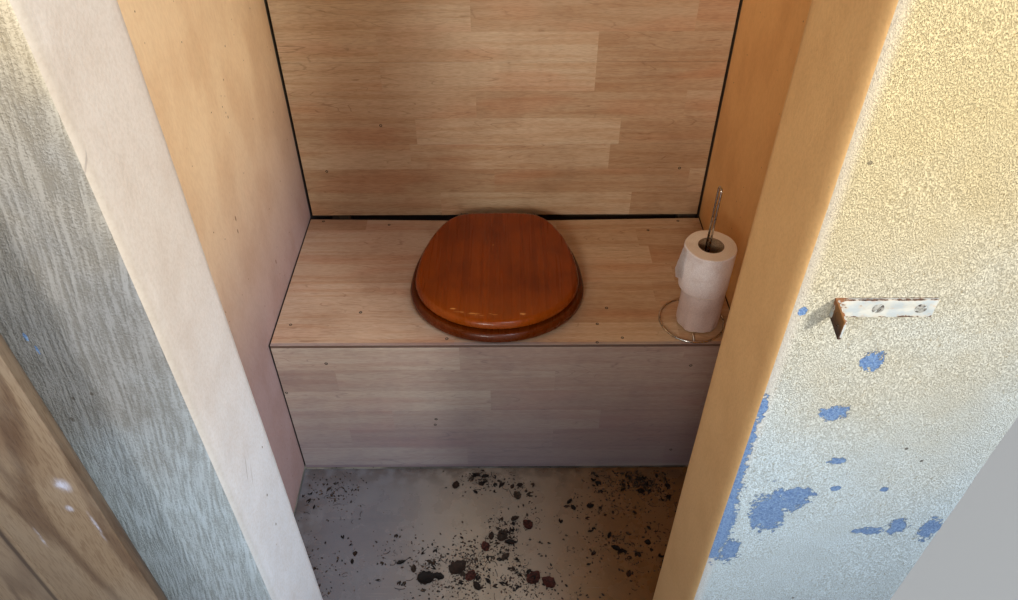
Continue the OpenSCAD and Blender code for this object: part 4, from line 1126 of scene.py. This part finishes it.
coating = Finish("zinc_coating", 0.42, Metallic=0.85)
spangle = coating.cells(0.014)
weathered = coating.fade(coating.cloud(0.12, at=coating.drawn(1, 2.5, 1), detail=5, rough=0.6), 0.4, 0.66)
grey_zinc = coating.mix(coating.fade(spangle, 0.1, 0.7), (176, 180, 182), (152, 157, 160))
grey_zinc = coating.mix(coating.times(weathered, 0.55), grey_zinc, (120, 122, 118))
run_off = coating.times(coating.fade(coating.cloud(0.02, at=coating.drawn(1, 9, 1), detail=4), 0.58, 0.7),
                        coating.fade(coating.cloud(0.3, detail=2), 0.45, 0.6))
grey_zinc = coating.mix(coating.times(run_off, 0.5), grey_zinc, (132, 96, 66))
coating.relief(coating.cloud(0.004, detail=3), 0.00012)
zinc_coating = coating.done(grey_zinc, coating.sum(coating.times(weathered, 0.25), 0.38))
eased("roof_sheet", 0.0003, zinc_coating, slot="sheet_metal", smooth_under=60)

trim, trim_tone, _ = softwood("stained_trim", "x", (142, 104, 70), (98, 60, 34), 0.014, 0.3, 0.6)
trim_x = trim.done(trim_tone)
trim, trim_tone, _ = softwood("stained_trim_side", "y", (142, 104, 70), (98, 60, 34), 0.014, 0.3, 0.6)
trim_y = trim.done(trim_tone)
eased("fascia_boards", 0.002, trim_x, slot="door_wood")
eased("barge_boards", 0.002, trim_y, slot="door_wood")


# Screws
# Black countersunk screws through the laminate, slotted ones in the keeper and in the black
# ironwork, plated ones with a cross in the ledges and the fascia boards, and domed ones with
# washers through the crests of the roof sheet.
def screw_head(name, radius, proud, cut_long, cut_cross, washer=0):
    """A head that faces up Z, with a slot or a cross cut into it and perhaps a washer."""
    shape = bmesh.new()
    sides, rows = 24, 6
    rims = [(radius, -0.0004)] + [(radius * (1 - k / rows), None) for k in range(rows)]
    if washer:
        rims = [(washer, -0.0004), (washer, 0.0008), (radius, 0.0010)] + rims[1:]
    hoops = []
    for r, z in rims:
        hoop = []
        for k in range(sides):
            x, y = r * math.cos(math.tau * k / sides), r * math.sin(math.tau * k / sides)
            high = z if z is not None else proud * (1 - 0.8 * (r / radius) ** 2)
            thin = 0.16 * radius
            in_cut = (abs(y) < thin and abs(x) < cut_long) or (abs(x) < thin and abs(y) < cut_cross)
            hoop.append(shape.verts.new((x, y, high - (0.35 * radius if z is None and in_cut else 0))))
        hoops.append(hoop)
    for here, there in zip(hoops, hoops[1:]):
        for k in range(sides):
            m = (k + 1) % sides
            shape.faces.new((here[k], here[m], there[m], there[k]))
    for hoop, low in ((hoops[0], -0.0004), (hoops[-1], proud - (0.35 * radius if cut_long else 0))):
        hub = shape.verts.new((0, 0, low))
        for k in range(sides):
            shape.faces.new((hoop[k], hoop[(k + 1) % sides], hub))
    bmesh.ops.recalc_face_normals(shape, faces=shape.faces)
    return link(name, as_mesh(shape, name))


def make_real(tree, given, result, placed, draw):
    """Ends a tree that sets copies: each gets a number of its own, and all of them become one
    mesh with the finish."""
    wires = tree.links.new
    own = tree.nodes.new("GeometryNodeStoreNamedAttribute")
    own.domain = "INSTANCE"
    own.inputs["Name"].default_value = "figure"
    wires(placed.outputs[0], own.inputs["Geometry"])
    wires(draw.outputs[1], own.inputs["Value"])
    real = tree.nodes.new("GeometryNodeRealizeInstances")
    wires(own.outputs[0], real.inputs[0])
    coat_all = tree.nodes.new("GeometryNodeSetMaterial")
    wires(real.outputs[0], coat_all.inputs["Geometry"])
    wires(given.outputs["Finish"], coat_all.inputs["Material"])
    wires(coat_all.outputs[0], result.inputs[0])


def copies_tree():
    """Sets a copy of a piece on each point, turned to the way the point faces."""
    tree = bpy.data.node_groups.new("set_copies", "GeometryNodeTree")
    wires = tree.links.new
    for label, kind in (("Points", "Geometry"), ("Piece", "Object"), ("Finish", "Material"), ("Seed", "Int")):
        tree.interface.new_socket(label, in_out="INPUT", socket_type="NodeSocket" + kind)
    tree.interface.new_socket("Copies", in_out="OUTPUT", socket_type="NodeSocketGeometry")
    given, result = tree.nodes.new("NodeGroupInput"), tree.nodes.new("NodeGroupOutput")
    marks = {}
    for label, kind in (("facing", "FLOAT_VECTOR"), ("spin", "FLOAT"), ("size", "FLOAT")):
        marks[label] = tree.nodes.new("GeometryNodeInputNamedAttribute")
        marks[label].data_type = kind
        marks[label].inputs["Name"].default_value = label
    aim = tree.nodes.new("FunctionNodeAlignRotationToVector")
    aim.axis = "Z"
    wires(marks["facing"].outputs["Attribute"], aim.inputs["Vector"])
    about_z = tree.nodes.new("ShaderNodeCombineXYZ")
    wires(marks["spin"].outputs["Attribute"], about_z.inputs["Z"])
    as_turn = tree.nodes.new("FunctionNodeEulerToRotation")
    wires(about_z.outputs[0], as_turn.inputs[0])
    turn = tree.nodes.new("FunctionNodeRotateRotation")
    turn.rotation_space = "LOCAL"
    wires(aim.outputs[0], turn.inputs["Rotation"])
    wires(as_turn.outputs[0], turn.inputs["Rotate By"])
    piece = tree.nodes.new("GeometryNodeObjectInfo")
    wires(given.outputs["Piece"], piece.inputs["Object"])
    placed = tree.nodes.new("GeometryNodeInstanceOnPoints")
    wires(given.outputs["Points"], placed.inputs["Points"])
    wires(piece.outputs["Geometry"], placed.inputs["Instance"])
    wires(turn.outputs[0], placed.inputs["Rotation"])
    wires(marks["size"].outputs["Attribute"], placed.inputs["Scale"])
    chance_of_own = tree.nodes.new("FunctionNodeRandomValue")
    wires(given.outputs["Seed"], chance_of_own.inputs["Seed"])
    make_real(tree, given, result, placed, chance_of_own)
    return tree


set_copies = copies_tree()


def grown(base, tree, **inputs):
    """The object with a Geometry Nodes tree run on it, its inputs set by their names."""
    change = base.modifiers.new("nodes", "NODES")
    change.node_group = tree
    for item in tree.interface.items_tree:
        if item.in_out == "INPUT" and item.name.replace(" ", "_") in inputs:
            change[item.identifier] = inputs[item.name.replace(" ", "_")]
    return finished(base)


def set_on(name, head, finish, body, places, seed, spread=0.0):
    """One mesh of copies of a piece. Each place is a point and the way it faces there, with a
    turn and a size where those are known."""
    own = random.Random(seed)
    mesh = bpy.data.meshes.new(name)
    mesh.from_pydata([place[0] for place in places], [], [])
    turns = [place[2] if len(place) > 2 else own.uniform(0, math.tau) for place in places]
    sizes = [(place[3] if len(place) > 3 else 1) * (1 + own.uniform(-spread, spread)) for place in places]
    facing = mesh.attributes.new("facing", "FLOAT_VECTOR", "POINT")
    facing.data.foreach_set("vector", [part for place in places for part in place[1]])
    for label, values in (("spin", turns), ("size", sizes)):
        mark = mesh.attributes.new(label, "FLOAT", "POINT")
        mark.data.foreach_set("value", values)
    made = grown(link(name, mesh), set_copies, Piece=head, Finish=finish, Seed=seed)
    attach(made, body)


black_screw = Finish("black_screw", 0.8)
screw_black = black_screw.done(black_screw.mix(black_screw.fade(black_screw.cloud(0.0012), 0.4, 0.6),
                                               (22, 18, 16), (42, 34, 29)))
bright_screw = Finish("painted_screw", 0.45, Metallic=0.2)
screw_painted = bright_screw.done(bright_screw.mix(bright_screw.fade(bright_screw.cloud(0.003), 0.45, 0.7),
                                                   (178, 176, 168), (64, 52, 46)))

cross_head = screw_head("cross_head", 0.0033, 0.0004, 0.0020, 0.0020)
slot_head = screw_head("slot_head", 0.0054, 0.0011, 0.0050, 0)
sheet_head = screw_head("sheet_head", 0.0045, 0.0034, 0, 0, washer=0.0095)

forward, backward = -inward, inward

# Where the laminate's screws sit: X and Y on the bench, X and Z on its front and the lining
on_top = ((-0.4353, 0.4268), (-0.2763, 0.4115), (-0.3011, 0.1041), (-0.4388, 0.0676),
          (-0.1175, 0.0251), (0.4152, 0.4232), (0.3381, 0.3862), (0.2117, 0.1143),
          (0.2345, 0.0257), (0.1827, 0.0129), (0.1878, 0.0661))
on_front = ((-0.3643, 0.4578), (-0.4620, 0.3693), (-0.1527, 0.2798), (-0.1557, 0.2609),
            (0.3785, 0.4472), (0.378, 0.1672))
on_lining = [(-0.4105, 0.6368), (-0.2729, 0.7538), (0.4032, 0.6426)]
on_lining += [(x, z) for z in (1.18, 1.57, 1.95) for x in (-0.441, 0.0, 0.441)]
laminate_screws = [((x, y, bench_top), upward) for x, y in on_top]
laminate_screws += [((x, bench_face, z), forward) for x, z in on_front]
laminate_screws += [((x, lining_face, z), forward) for x, z in on_lining]
set_on("laminate_screws", cross_head, screw_black, "house", laminate_screws, 3, 0.06)

keeper_long = keeper_high.x - keeper_low.x
keeper_mid = (keeper_low.z + keeper_high.z) / 2
set_on("keeper_screws", slot_head, screw_painted, "house",
       [((keeper_low.x + share * keeper_long, front_y - 0.003, keeper_mid), forward, turn)
        for share, turn in ((0.44, 1.2), (0.86, 0.5))], 5)

straps_low, straps_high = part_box("hinge_straps")
strap_half, plate_thick = 0.0225, 0.005
hinge_zs = straps_low.z + strap_half, straps_high.z - strap_half
hooks_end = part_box("hinge_hooks")[1].x
hook_spots = (0.014, 0.052), (0.038, 0.052), (0.038, -0.004), (0.014, -0.052), (0.038, -0.052)
hook_screws = [((hooks_end - out, front_y - plate_thick, z + dz), forward)
               for z in hinge_zs for out, dz in hook_spots]
strap_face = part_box("door_board_4")[1].y + 0.004
strap_spots = (0.075, 0.010), (0.075, -0.010), (0.19, 0), (0.30, 0), (0.41, 0)
strap_screws = [((hooks_end - 0.007 - out, strap_face, z + dz), backward)
                for z in hinge_zs for out, dz in strap_spots]
ledges_low, ledges_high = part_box("door_ledges")
ledge_half = 0.055
ledge_zs = ledges_low.z + ledge_half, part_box("latch_bolt")[0].z + 0.0498, ledges_high.z - ledge_half
board_xs = [sum(end.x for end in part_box("door_board_%d" % count)) / 2 for count in range(2, 7)]
ledge_screws = [((x + side * 0.022, ledges_low.y, z + side * up * 0.03), forward)
                for z in ledge_zs for x in board_xs for side, up in ((-1, 1), (1, 1))]
set_on("hook_screws", slot_head, black_iron, "house", hook_screws, 7)
set_on("strap_screws", slot_head, black_iron, "door", strap_screws, 9)
set_on("ledge_screws", cross_head, plated, "door", ledge_screws, 11)

slope = math.radians(8)
wall_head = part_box("front_wall_top")[1].z
down_slope = Vector((0, math.cos(slope), -math.sin(slope)))
off_slope = Vector((0, math.sin(slope), math.cos(slope)))
eaves = Vector((0, front_y, wall_head))
sheet_low, sheet_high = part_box("roof_sheet")
waves = 17
crest_up, trim_up, front_trim, back_trim = 0.106, 0.045, -0.1303, 1.2041
wave = (sheet_high.x - sheet_low.x) / waves
sheet_left = eaves + right * sheet_low.x + off_slope * crest_up
roof_screws = [(sheet_left + right * (k + 0.5) * wave + down_slope * run, off_slope)
               for run in (-0.06, 0.33, 0.72, 1.13) for k in range(0, waves, 2)]
set_on("roof_screws", sheet_head, plated, "house", roof_screws, 13)
trim_screws = [(eaves + right * x + down_slope * run + off_slope * trim_up, way)
               for x in (-0.52, -0.173, 0.173, 0.52)
               for run, way in ((front_trim, -down_slope), (back_trim, down_slope))]
set_on("trim_screws", cross_head, plated, "house", trim_screws, 15)
for head in (cross_head, slot_head, sheet_head):
    bpy.data.objects.remove(head)


# Litter on the floor
# Dry leaves, scraps and stalks of them and crumbs of earth, blown in by the wind. They lie in
# drifts against the bench and the walls and down the middle of the floor.
floor_low, floor_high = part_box("floor_sheet")
leaf_long = 0.03


def leaf_piece(name, rows, columns, wide, curl, notch, seed):
    """A dry leaf 3 cm long that lies in XY, pointed at both ends and curled along its rib."""
    shape = bmesh.new()
    grid = []
    for i in range(rows + 1):
        t = i / rows
        half = wide * (math.sin(math.pi * t ** 0.8) ** 0.75) * (1 + notch * math.sin(t * 21))
        line = []
        for k in range(columns + 1):
            u = k / columns * 2 - 1
            lift = curl * (abs(u) ** 1.5 * half + 0.10 * leaf_long * (2 * t - 1) ** 2)
            bump = 0.0009 * noise.noise(Vector((t * 4, u * 2, seed)))
            sway = 0.0015 * math.sin(t * 3 + seed)
            line.append(shape.verts.new((leaf_long * (t - 0.5), u * half + sway, lift + abs(bump))))
        grid.append(line)
    for i in range(rows):
        for k in range(columns):
            face = shape.faces.new((grid[i][k], grid[i][k + 1], grid[i + 1][k + 1], grid[i + 1][k]))
            face.smooth = True
    bmesh.ops.solidify(shape, geom=shape.faces[:], thickness=0.00025)
    bmesh.ops.recalc_face_normals(shape, faces=shape.faces)
    return link(name, as_mesh(shape, name))


def crumb_piece(name, long, wide, high, seed):
    """A bit of leaf or earth, as a lump with an uneven skin."""
    shape = bmesh.new()
    bmesh.ops.create_icosphere(shape, subdivisions=1, radius=1)
    for vert in shape.verts:
        push = 1 + 1.1 * noise.noise(vert.co * 1.7 + Vector((seed, 0, 0)))
        vert.co = Vector((vert.co.x * long * push, vert.co.y * wide * push, (vert.co.z + 0.7) * high * push))
    return link(name, as_mesh(shape, name))


def drift_tree():
    """Strews three pieces over a surface, thickest where its drift mark is high."""
    tree = bpy.data.node_groups.new("strew", "GeometryNodeTree")
    wires = tree.links.new
    for label, kind in (("Ground", "Geometry"), ("Piece A", "Object"), ("Piece B", "Object"),
                        ("Piece C", "Object"), ("Per Square Metre", "Float"), ("Least Size", "Float"),
                        ("Largest Size", "Float"), ("Lean", "Float"), ("Seed", "Int"),
                        ("Finish", "Material")):
        tree.interface.new_socket(label, in_out="INPUT", socket_type="NodeSocket" + kind)
    tree.interface.new_socket("Litter", in_out="OUTPUT", socket_type="NodeSocketGeometry")
    given, result = tree.nodes.new("NodeGroupInput"), tree.nodes.new("NodeGroupOutput")
    drift = tree.nodes.new("GeometryNodeInputNamedAttribute")
    drift.inputs["Name"].default_value = "drift"
    thick = tree.nodes.new("ShaderNodeMath")
    thick.operation = "MULTIPLY"
    wires(drift.outputs["Attribute"], thick.inputs[0])
    wires(given.outputs["Per Square Metre"], thick.inputs[1])
    strewn = tree.nodes.new("GeometryNodeDistributePointsOnFaces")
    wires(given.outputs["Ground"], strewn.inputs["Mesh"])
    wires(thick.outputs[0], strewn.inputs["Density"])
    wires(given.outputs["Seed"], strewn.inputs["Seed"])
    pieces = tree.nodes.new("GeometryNodeGeometryToInstance")
    for label in ("Piece C", "Piece B", "Piece A"):
        one = tree.nodes.new("GeometryNodeObjectInfo")
        wires(given.outputs[label], one.inputs["Object"])
        wires(one.outputs["Geometry"], pieces.inputs[0])
    draws = {}
    for label, kind in (("size", "FLOAT"), ("lean", "FLOAT_VECTOR"), ("pick", "INT"), ("own", "FLOAT")):
        draws[label] = tree.nodes.new("FunctionNodeRandomValue")
        draws[label].data_type = kind
        shift = tree.nodes.new("ShaderNodeMath")
        shift.inputs[1].default_value = len(draws) * 17
        wires(given.outputs["Seed"], shift.inputs[0])
        wires(shift.outputs[0], draws[label].inputs["Seed"])
    wires(given.outputs["Least Size"], draws["size"].inputs[2])
    wires(given.outputs["Largest Size"], draws["size"].inputs[3])
    draws["pick"].inputs[4].default_value, draws["pick"].inputs[5].default_value = 0, 2
    draws["lean"].inputs[0].default_value = (-1, -1, -math.pi / 0.2)
    draws["lean"].inputs[1].default_value = (1, 1, math.pi / 0.2)
    tilt = tree.nodes.new("ShaderNodeVectorMath")
    tilt.operation = "MULTIPLY"
    by = tree.nodes.new("ShaderNodeCombineXYZ")
    wires(given.outputs["Lean"], by.inputs["X"])
    wires(given.outputs["Lean"], by.inputs["Y"])
    by.inputs["Z"].default_value = 0.2
    wires(draws["lean"].outputs[0], tilt.inputs[0])
    wires(by.outputs[0], tilt.inputs[1])
    as_turn = tree.nodes.new("FunctionNodeEulerToRotation")
    wires(tilt.outputs[0], as_turn.inputs[0])
    placed = tree.nodes.new("GeometryNodeInstanceOnPoints")
    placed.inputs["Pick Instance"].default_value = True
    wires(strewn.outputs["Points"], placed.inputs["Points"])
    wires(pieces.outputs[0], placed.inputs["Instance"])
    wires(draws["pick"].outputs[2], placed.inputs["Instance Index"])
    wires(as_turn.outputs[0], placed.inputs["Rotation"])
    wires(draws["size"].outputs[1], placed.inputs["Scale"])
    make_real(tree, given, result, placed, draws["own"])
    return tree


dry = Finish("dry_leaf", 0.8)
own_leaf = dry.add("Attribute", attribute_name="figure").outputs["Fac"]
leaf_tone = dry.add("ValToRGB", {"Fac": own_leaf})
stops = leaf_tone.color_ramp.elements
stops[0].color, stops[1].color = shade(28, 22, 20), shade(52, 36, 29)
for place, tint in ((0.35, (42, 31, 25)), (0.6, (66, 47, 36)), (0.8, (88, 74, 60))):
    stops.new(place).color = shade(*tint)
mould = dry.fade(dry.cloud(0.004, detail=4, rough=0.65), 0.42, 0.66)
leaf_tint = dry.mix(dry.times(mould, 0.6), leaf_tone.outputs[0], (30, 22, 18))
dry.relief(dry.cloud(0.0016, detail=3), 0.0004)
dry_leaf = dry.done(leaf_tint)

# Drifts on the floor: X, Y, how far they spread and how thick they are
drifts = ((-0.060, -0.025, 0.045, 1.0), (-0.105, -0.012, 0.030, 0.9), (-0.030, -0.008, 0.05, 0.7),
          (0.010, -0.030, 0.035, 0.7), (0.035, -0.060, 0.030, 0.9), (0.050, -0.120, 0.035, 1.0),
          (0.005, -0.150, 0.045, 1.2), (-0.015, -0.190, 0.045, 1.2), (-0.080, -0.235, 0.055, 1.5),
          (-0.15, -0.25, 0.05, 1.4), (0.035, -0.255, 0.06, 1.2), (-0.22, -0.21, 0.05, 0.9),
          (0.22, -0.035, 0.06, 0.7), (0.31, -0.025, 0.045, 4.0), (0.36, -0.05, 0.06, 1.3),
          (0.27, -0.09, 0.06, 0.6), (0.18, -0.10, 0.04, 0.5), (0.17, -0.17, 0.06, 0.4),
          (0.26, -0.20, 0.08, 0.5), (0.36, -0.20, 0.10, 0.4), (-0.40, -0.05, 0.08, 0.7),
          (-0.42, -0.25, 0.08, 0.8), (0.43, -0.30, 0.06, 0.9), (-0.10, -0.33, 0.12, 0.8),
          (0.12, -0.36, 0.12, 0.6))
bare_side, bare_front, bare_back = 0.008, 0.006, 0.008
littered_x = floor_high.x - floor_low.x - 2 * bare_side
littered_y = floor_high.y - floor_low.y - (bare_front + bare_back)
ground = bmesh.new()
bmesh.ops.create_grid(ground, x_segments=90, y_segments=40, size=0.5)
for vert in ground.verts:
    vert.co = Vector((floor_low.x + bare_side + (vert.co.x + 0.5) * littered_x,
                      floor_low.y + bare_front + (vert.co.y + 0.5) * littered_y, floor_high.z))
ground_mesh = as_mesh(ground, "ground")
drift_mark = ground_mesh.attributes.new("drift", "FLOAT", "POINT")
for i, vert in enumerate(ground_mesh.vertices):
    thick = 0.007
    for x, y, spread, most in drifts:
        thick += most * math.exp(-((vert.co.x - x) ** 2 + (vert.co.y - y) ** 2) / (spread * 0.75) ** 2)
    patchy = noise.noise(vert.co * 34) * 0.5 + 0.5
    drift_mark.data[i].value = thick * max(0, patchy * 1.6 - 0.35)

strew = drift_tree()
leaf_looks = (0.0085, 0.35, 0.10, 1), (0.0065, 0.6, 0.12, 2), (0.0110, 0.25, 0.10, 3)
leaves = [leaf_piece("leaf_%d" % k, 14, 8, *looks) for k, looks in enumerate(leaf_looks)]
scraps = [leaf_piece("scrap_%d" % k, 5, 4, *looks) for k, looks in enumerate(leaf_looks)]
crumb_looks = (0.0021, 0.0014, 0.0005, 4), (0.0012, 0.0010, 0.0006, 8), (0.0028, 0.0013, 0.0004, 12)
crumbs = [crumb_piece("crumb_%d" % k, *looks) for k, looks in enumerate(crumb_looks)]
stalk_bends = (0.006, 190), (0.010, 110), (0.022, 70)
stalks = [tubes("stalk_%d" % k, [arc(Vector((0, 0, 0.0009)), right, inward, radius, 20, turned, 6)], 0.0005,
                sides=5) for k, (radius, turned) in enumerate(stalk_bends)]
for name, pieces, share, least, largest, lean, seed in (
        ("litter_scraps", scraps, 3800, 0.16, 0.62, 0.3, 2),
        ("litter_crumbs", crumbs, 44000, 0.25, 1.5, 0.4, 6),
        ("litter_stalks", stalks, 5200, 0.35, 1.2, 0.08, 10)):
    base = link(name, ground_mesh.copy())
    strewn = grown(base, strew, Piece_A=pieces[0], Piece_B=pieces[1], Piece_C=pieces[2],
                   Per_Square_Metre=float(share), Least_Size=least, Largest_Size=largest,
                   Lean=lean, Seed=seed, Finish=dry_leaf)
    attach(strewn, "house")

# The larger leaves, where they lie: X, Y, turn, size and which of the three leaves
russet = Finish("russet_leaf", 0.75)
blotched = russet.fade(russet.cloud(0.005, detail=4), 0.4, 0.62)
russet.relief(russet.cloud(0.002, detail=3), 0.0005)
russet_leaf = russet.done(russet.mix(blotched, (98, 50, 40), (60, 30, 24)))
lying = floor_high.z + 0.0006
dry_places = ((-0.116, -0.039, 1.4, 0.75, 2), (-0.048, -0.016, 0.4, 0.6, 0), (-0.070, -0.012, 2.7, 0.5, 1),
              (0.024, -0.068, 2.0, 0.8, 2), (-0.009, -0.039, 0.9, 0.55, 0), (0.032, -0.040, 0.2, 0.5, 2),
              (0.020, -0.128, 0.6, 0.7, 0), (-0.009, -0.170, 1.2, 1.0, 2), (0.010, -0.186, 0.1, 0.95, 1),
              (-0.032, -0.170, 1.6, 0.7, 0), (-0.001, -0.219, 0.9, 0.75, 0), (-0.102, -0.242, 0.7, 1.4, 2),
              (-0.166, -0.265, 0.2, 1.35, 2), (-0.142, -0.262, 2.9, 0.9, 0), (-0.061, -0.284, 2.3, 0.8, 0),
              (-0.222, -0.231, 0.5, 0.7, 1), (-0.194, -0.245, 1.8, 0.65, 0), (0.143, -0.085, 1.0, 0.6, 1),
              (0.150, -0.100, 2.2, 0.55, 0), (0.189, -0.096, 0.3, 0.6, 2), (0.224, -0.170, 1.3, 0.6, 1),
              (0.234, -0.200, 2.8, 0.7, 0), (0.184, -0.160, 0.4, 0.45, 1))
russet_places = ((0.046, -0.143, 2.2, 0.95, 2), (-0.046, -0.195, 1.9, 0.85, 2),
                 (-0.075, -0.261, 1.1, 0.95, 2), (0.056, -0.266, 0.9, 1.2, 2),
                 (0.086, -0.278, 2.5, 1.1, 2))
sets = [(finish, spots, kind)
        for finish, spots in ((dry_leaf, dry_places), (russet_leaf, russet_places)) for kind in range(3)]
for count, (finish, spots, kind) in enumerate(sets):
    places = [((x, y, lying), (0, 0, 1), turn, size) for x, y, turn, size, which in spots if which == kind]
    if places:
        set_on("large_leaves_%d" % count, leaves[kind], finish, "house", places, 30 + count)
for piece in leaves + scraps + crumbs + stalks:
    bpy.data.objects.remove(piece)
bpy.data.meshes.remove(ground_mesh)


# Floor, backdrop and lamps
# A plain pale studio floor, a soft lamp from the front right, a weaker one from the front
# left, a wide cool one from above, and an even pale surround.
studio = bpy.data.meshes.new("studio_floor")
studio.from_pydata([(-9, -9, 0), (9, -9, 0), (9, 9, 0), (-9, 9, 0)], [], [(0, 1, 2, 3)])
plain = Finish("studio_floor", 0.9)
path = plain.add("LightPath").outputs
seen_pale = plain.calc("MAXIMUM", path["Is Camera Ray"], path["Is Glossy Ray"])
seen_pale = plain.calc("MAXIMUM", seen_pale, path["Is Transmission Ray"])
studio_floor = link("studio_floor", studio,
                    plain.done(plain.mix(seen_pale, (120, 117, 112), (214, 211, 205))))
studio_floor.location.z = -0.001


def lamp_at(name, kind, place, target, watts, tint, **looks):
    """A lamp that points from its place at the target."""
    lamp = bpy.data.lights.new(name, kind)
    lamp.energy, lamp.color = watts, shade(*tint)[:3]
    for look, value in looks.items():
        setattr(lamp, look, value)
    made = bpy.data.objects.new(name, lamp)
    made.location = place
    made.rotation_euler = (Vector(place) - Vector(target)).to_track_quat("Z", "Y").to_euler()
    scene.collection.objects.link(made)


lamp_at("soft_right", "SPOT", (2.3, -3.25, 2.6), (-0.1, -0.45, 1.75), 620, (255, 250, 238),
        spot_size=math.radians(50), spot_blend=1, shadow_soft_size=0.35)
lamp_at("soft_front", "SPOT", (-0.9, -3.5, 2.3), (0.08, 0.3, 1.5), 300, (252, 247, 240),
        spot_size=math.radians(44), spot_blend=1, shadow_soft_size=0.4)
lamp_at("soft_above", "AREA", (1.3, -2.3, 4.6), (0, 0, 0.5), 100, (226, 238, 255), shape="RECTANGLE",
        size=1.8, size_y=1.8)

surround = bpy.data.worlds.new("pale_surround")
surround.use_nodes = True
scene.world = surround
air = surround.node_tree
rays = air.nodes.new("ShaderNodeLightPath").outputs
seen = rays["Is Camera Ray"]
for kind in ("Is Glossy Ray", "Is Transmission Ray"):
    larger = air.nodes.new("ShaderNodeMath")
    larger.operation = "MAXIMUM"
    air.links.new(seen, larger.inputs[0])
    air.links.new(rays[kind], larger.inputs[1])
    seen = larger.outputs[0]
either = air.nodes.new("ShaderNodeMixShader")
air.links.new(seen, either.inputs[0])
for socket, tint, strength in ((1, (244, 246, 250), 0.42), (2, (236, 235, 232), 1)):
    glow = air.nodes.new("ShaderNodeBackground")
    glow.inputs["Color"].default_value, glow.inputs["Strength"].default_value = shade(*tint), strength
    air.links.new(glow.outputs[0], either.inputs[socket])
air.links.new(either.outputs[0], air.nodes["World Output"].inputs["Surface"])

scene.view_settings.view_transform = "Standard"
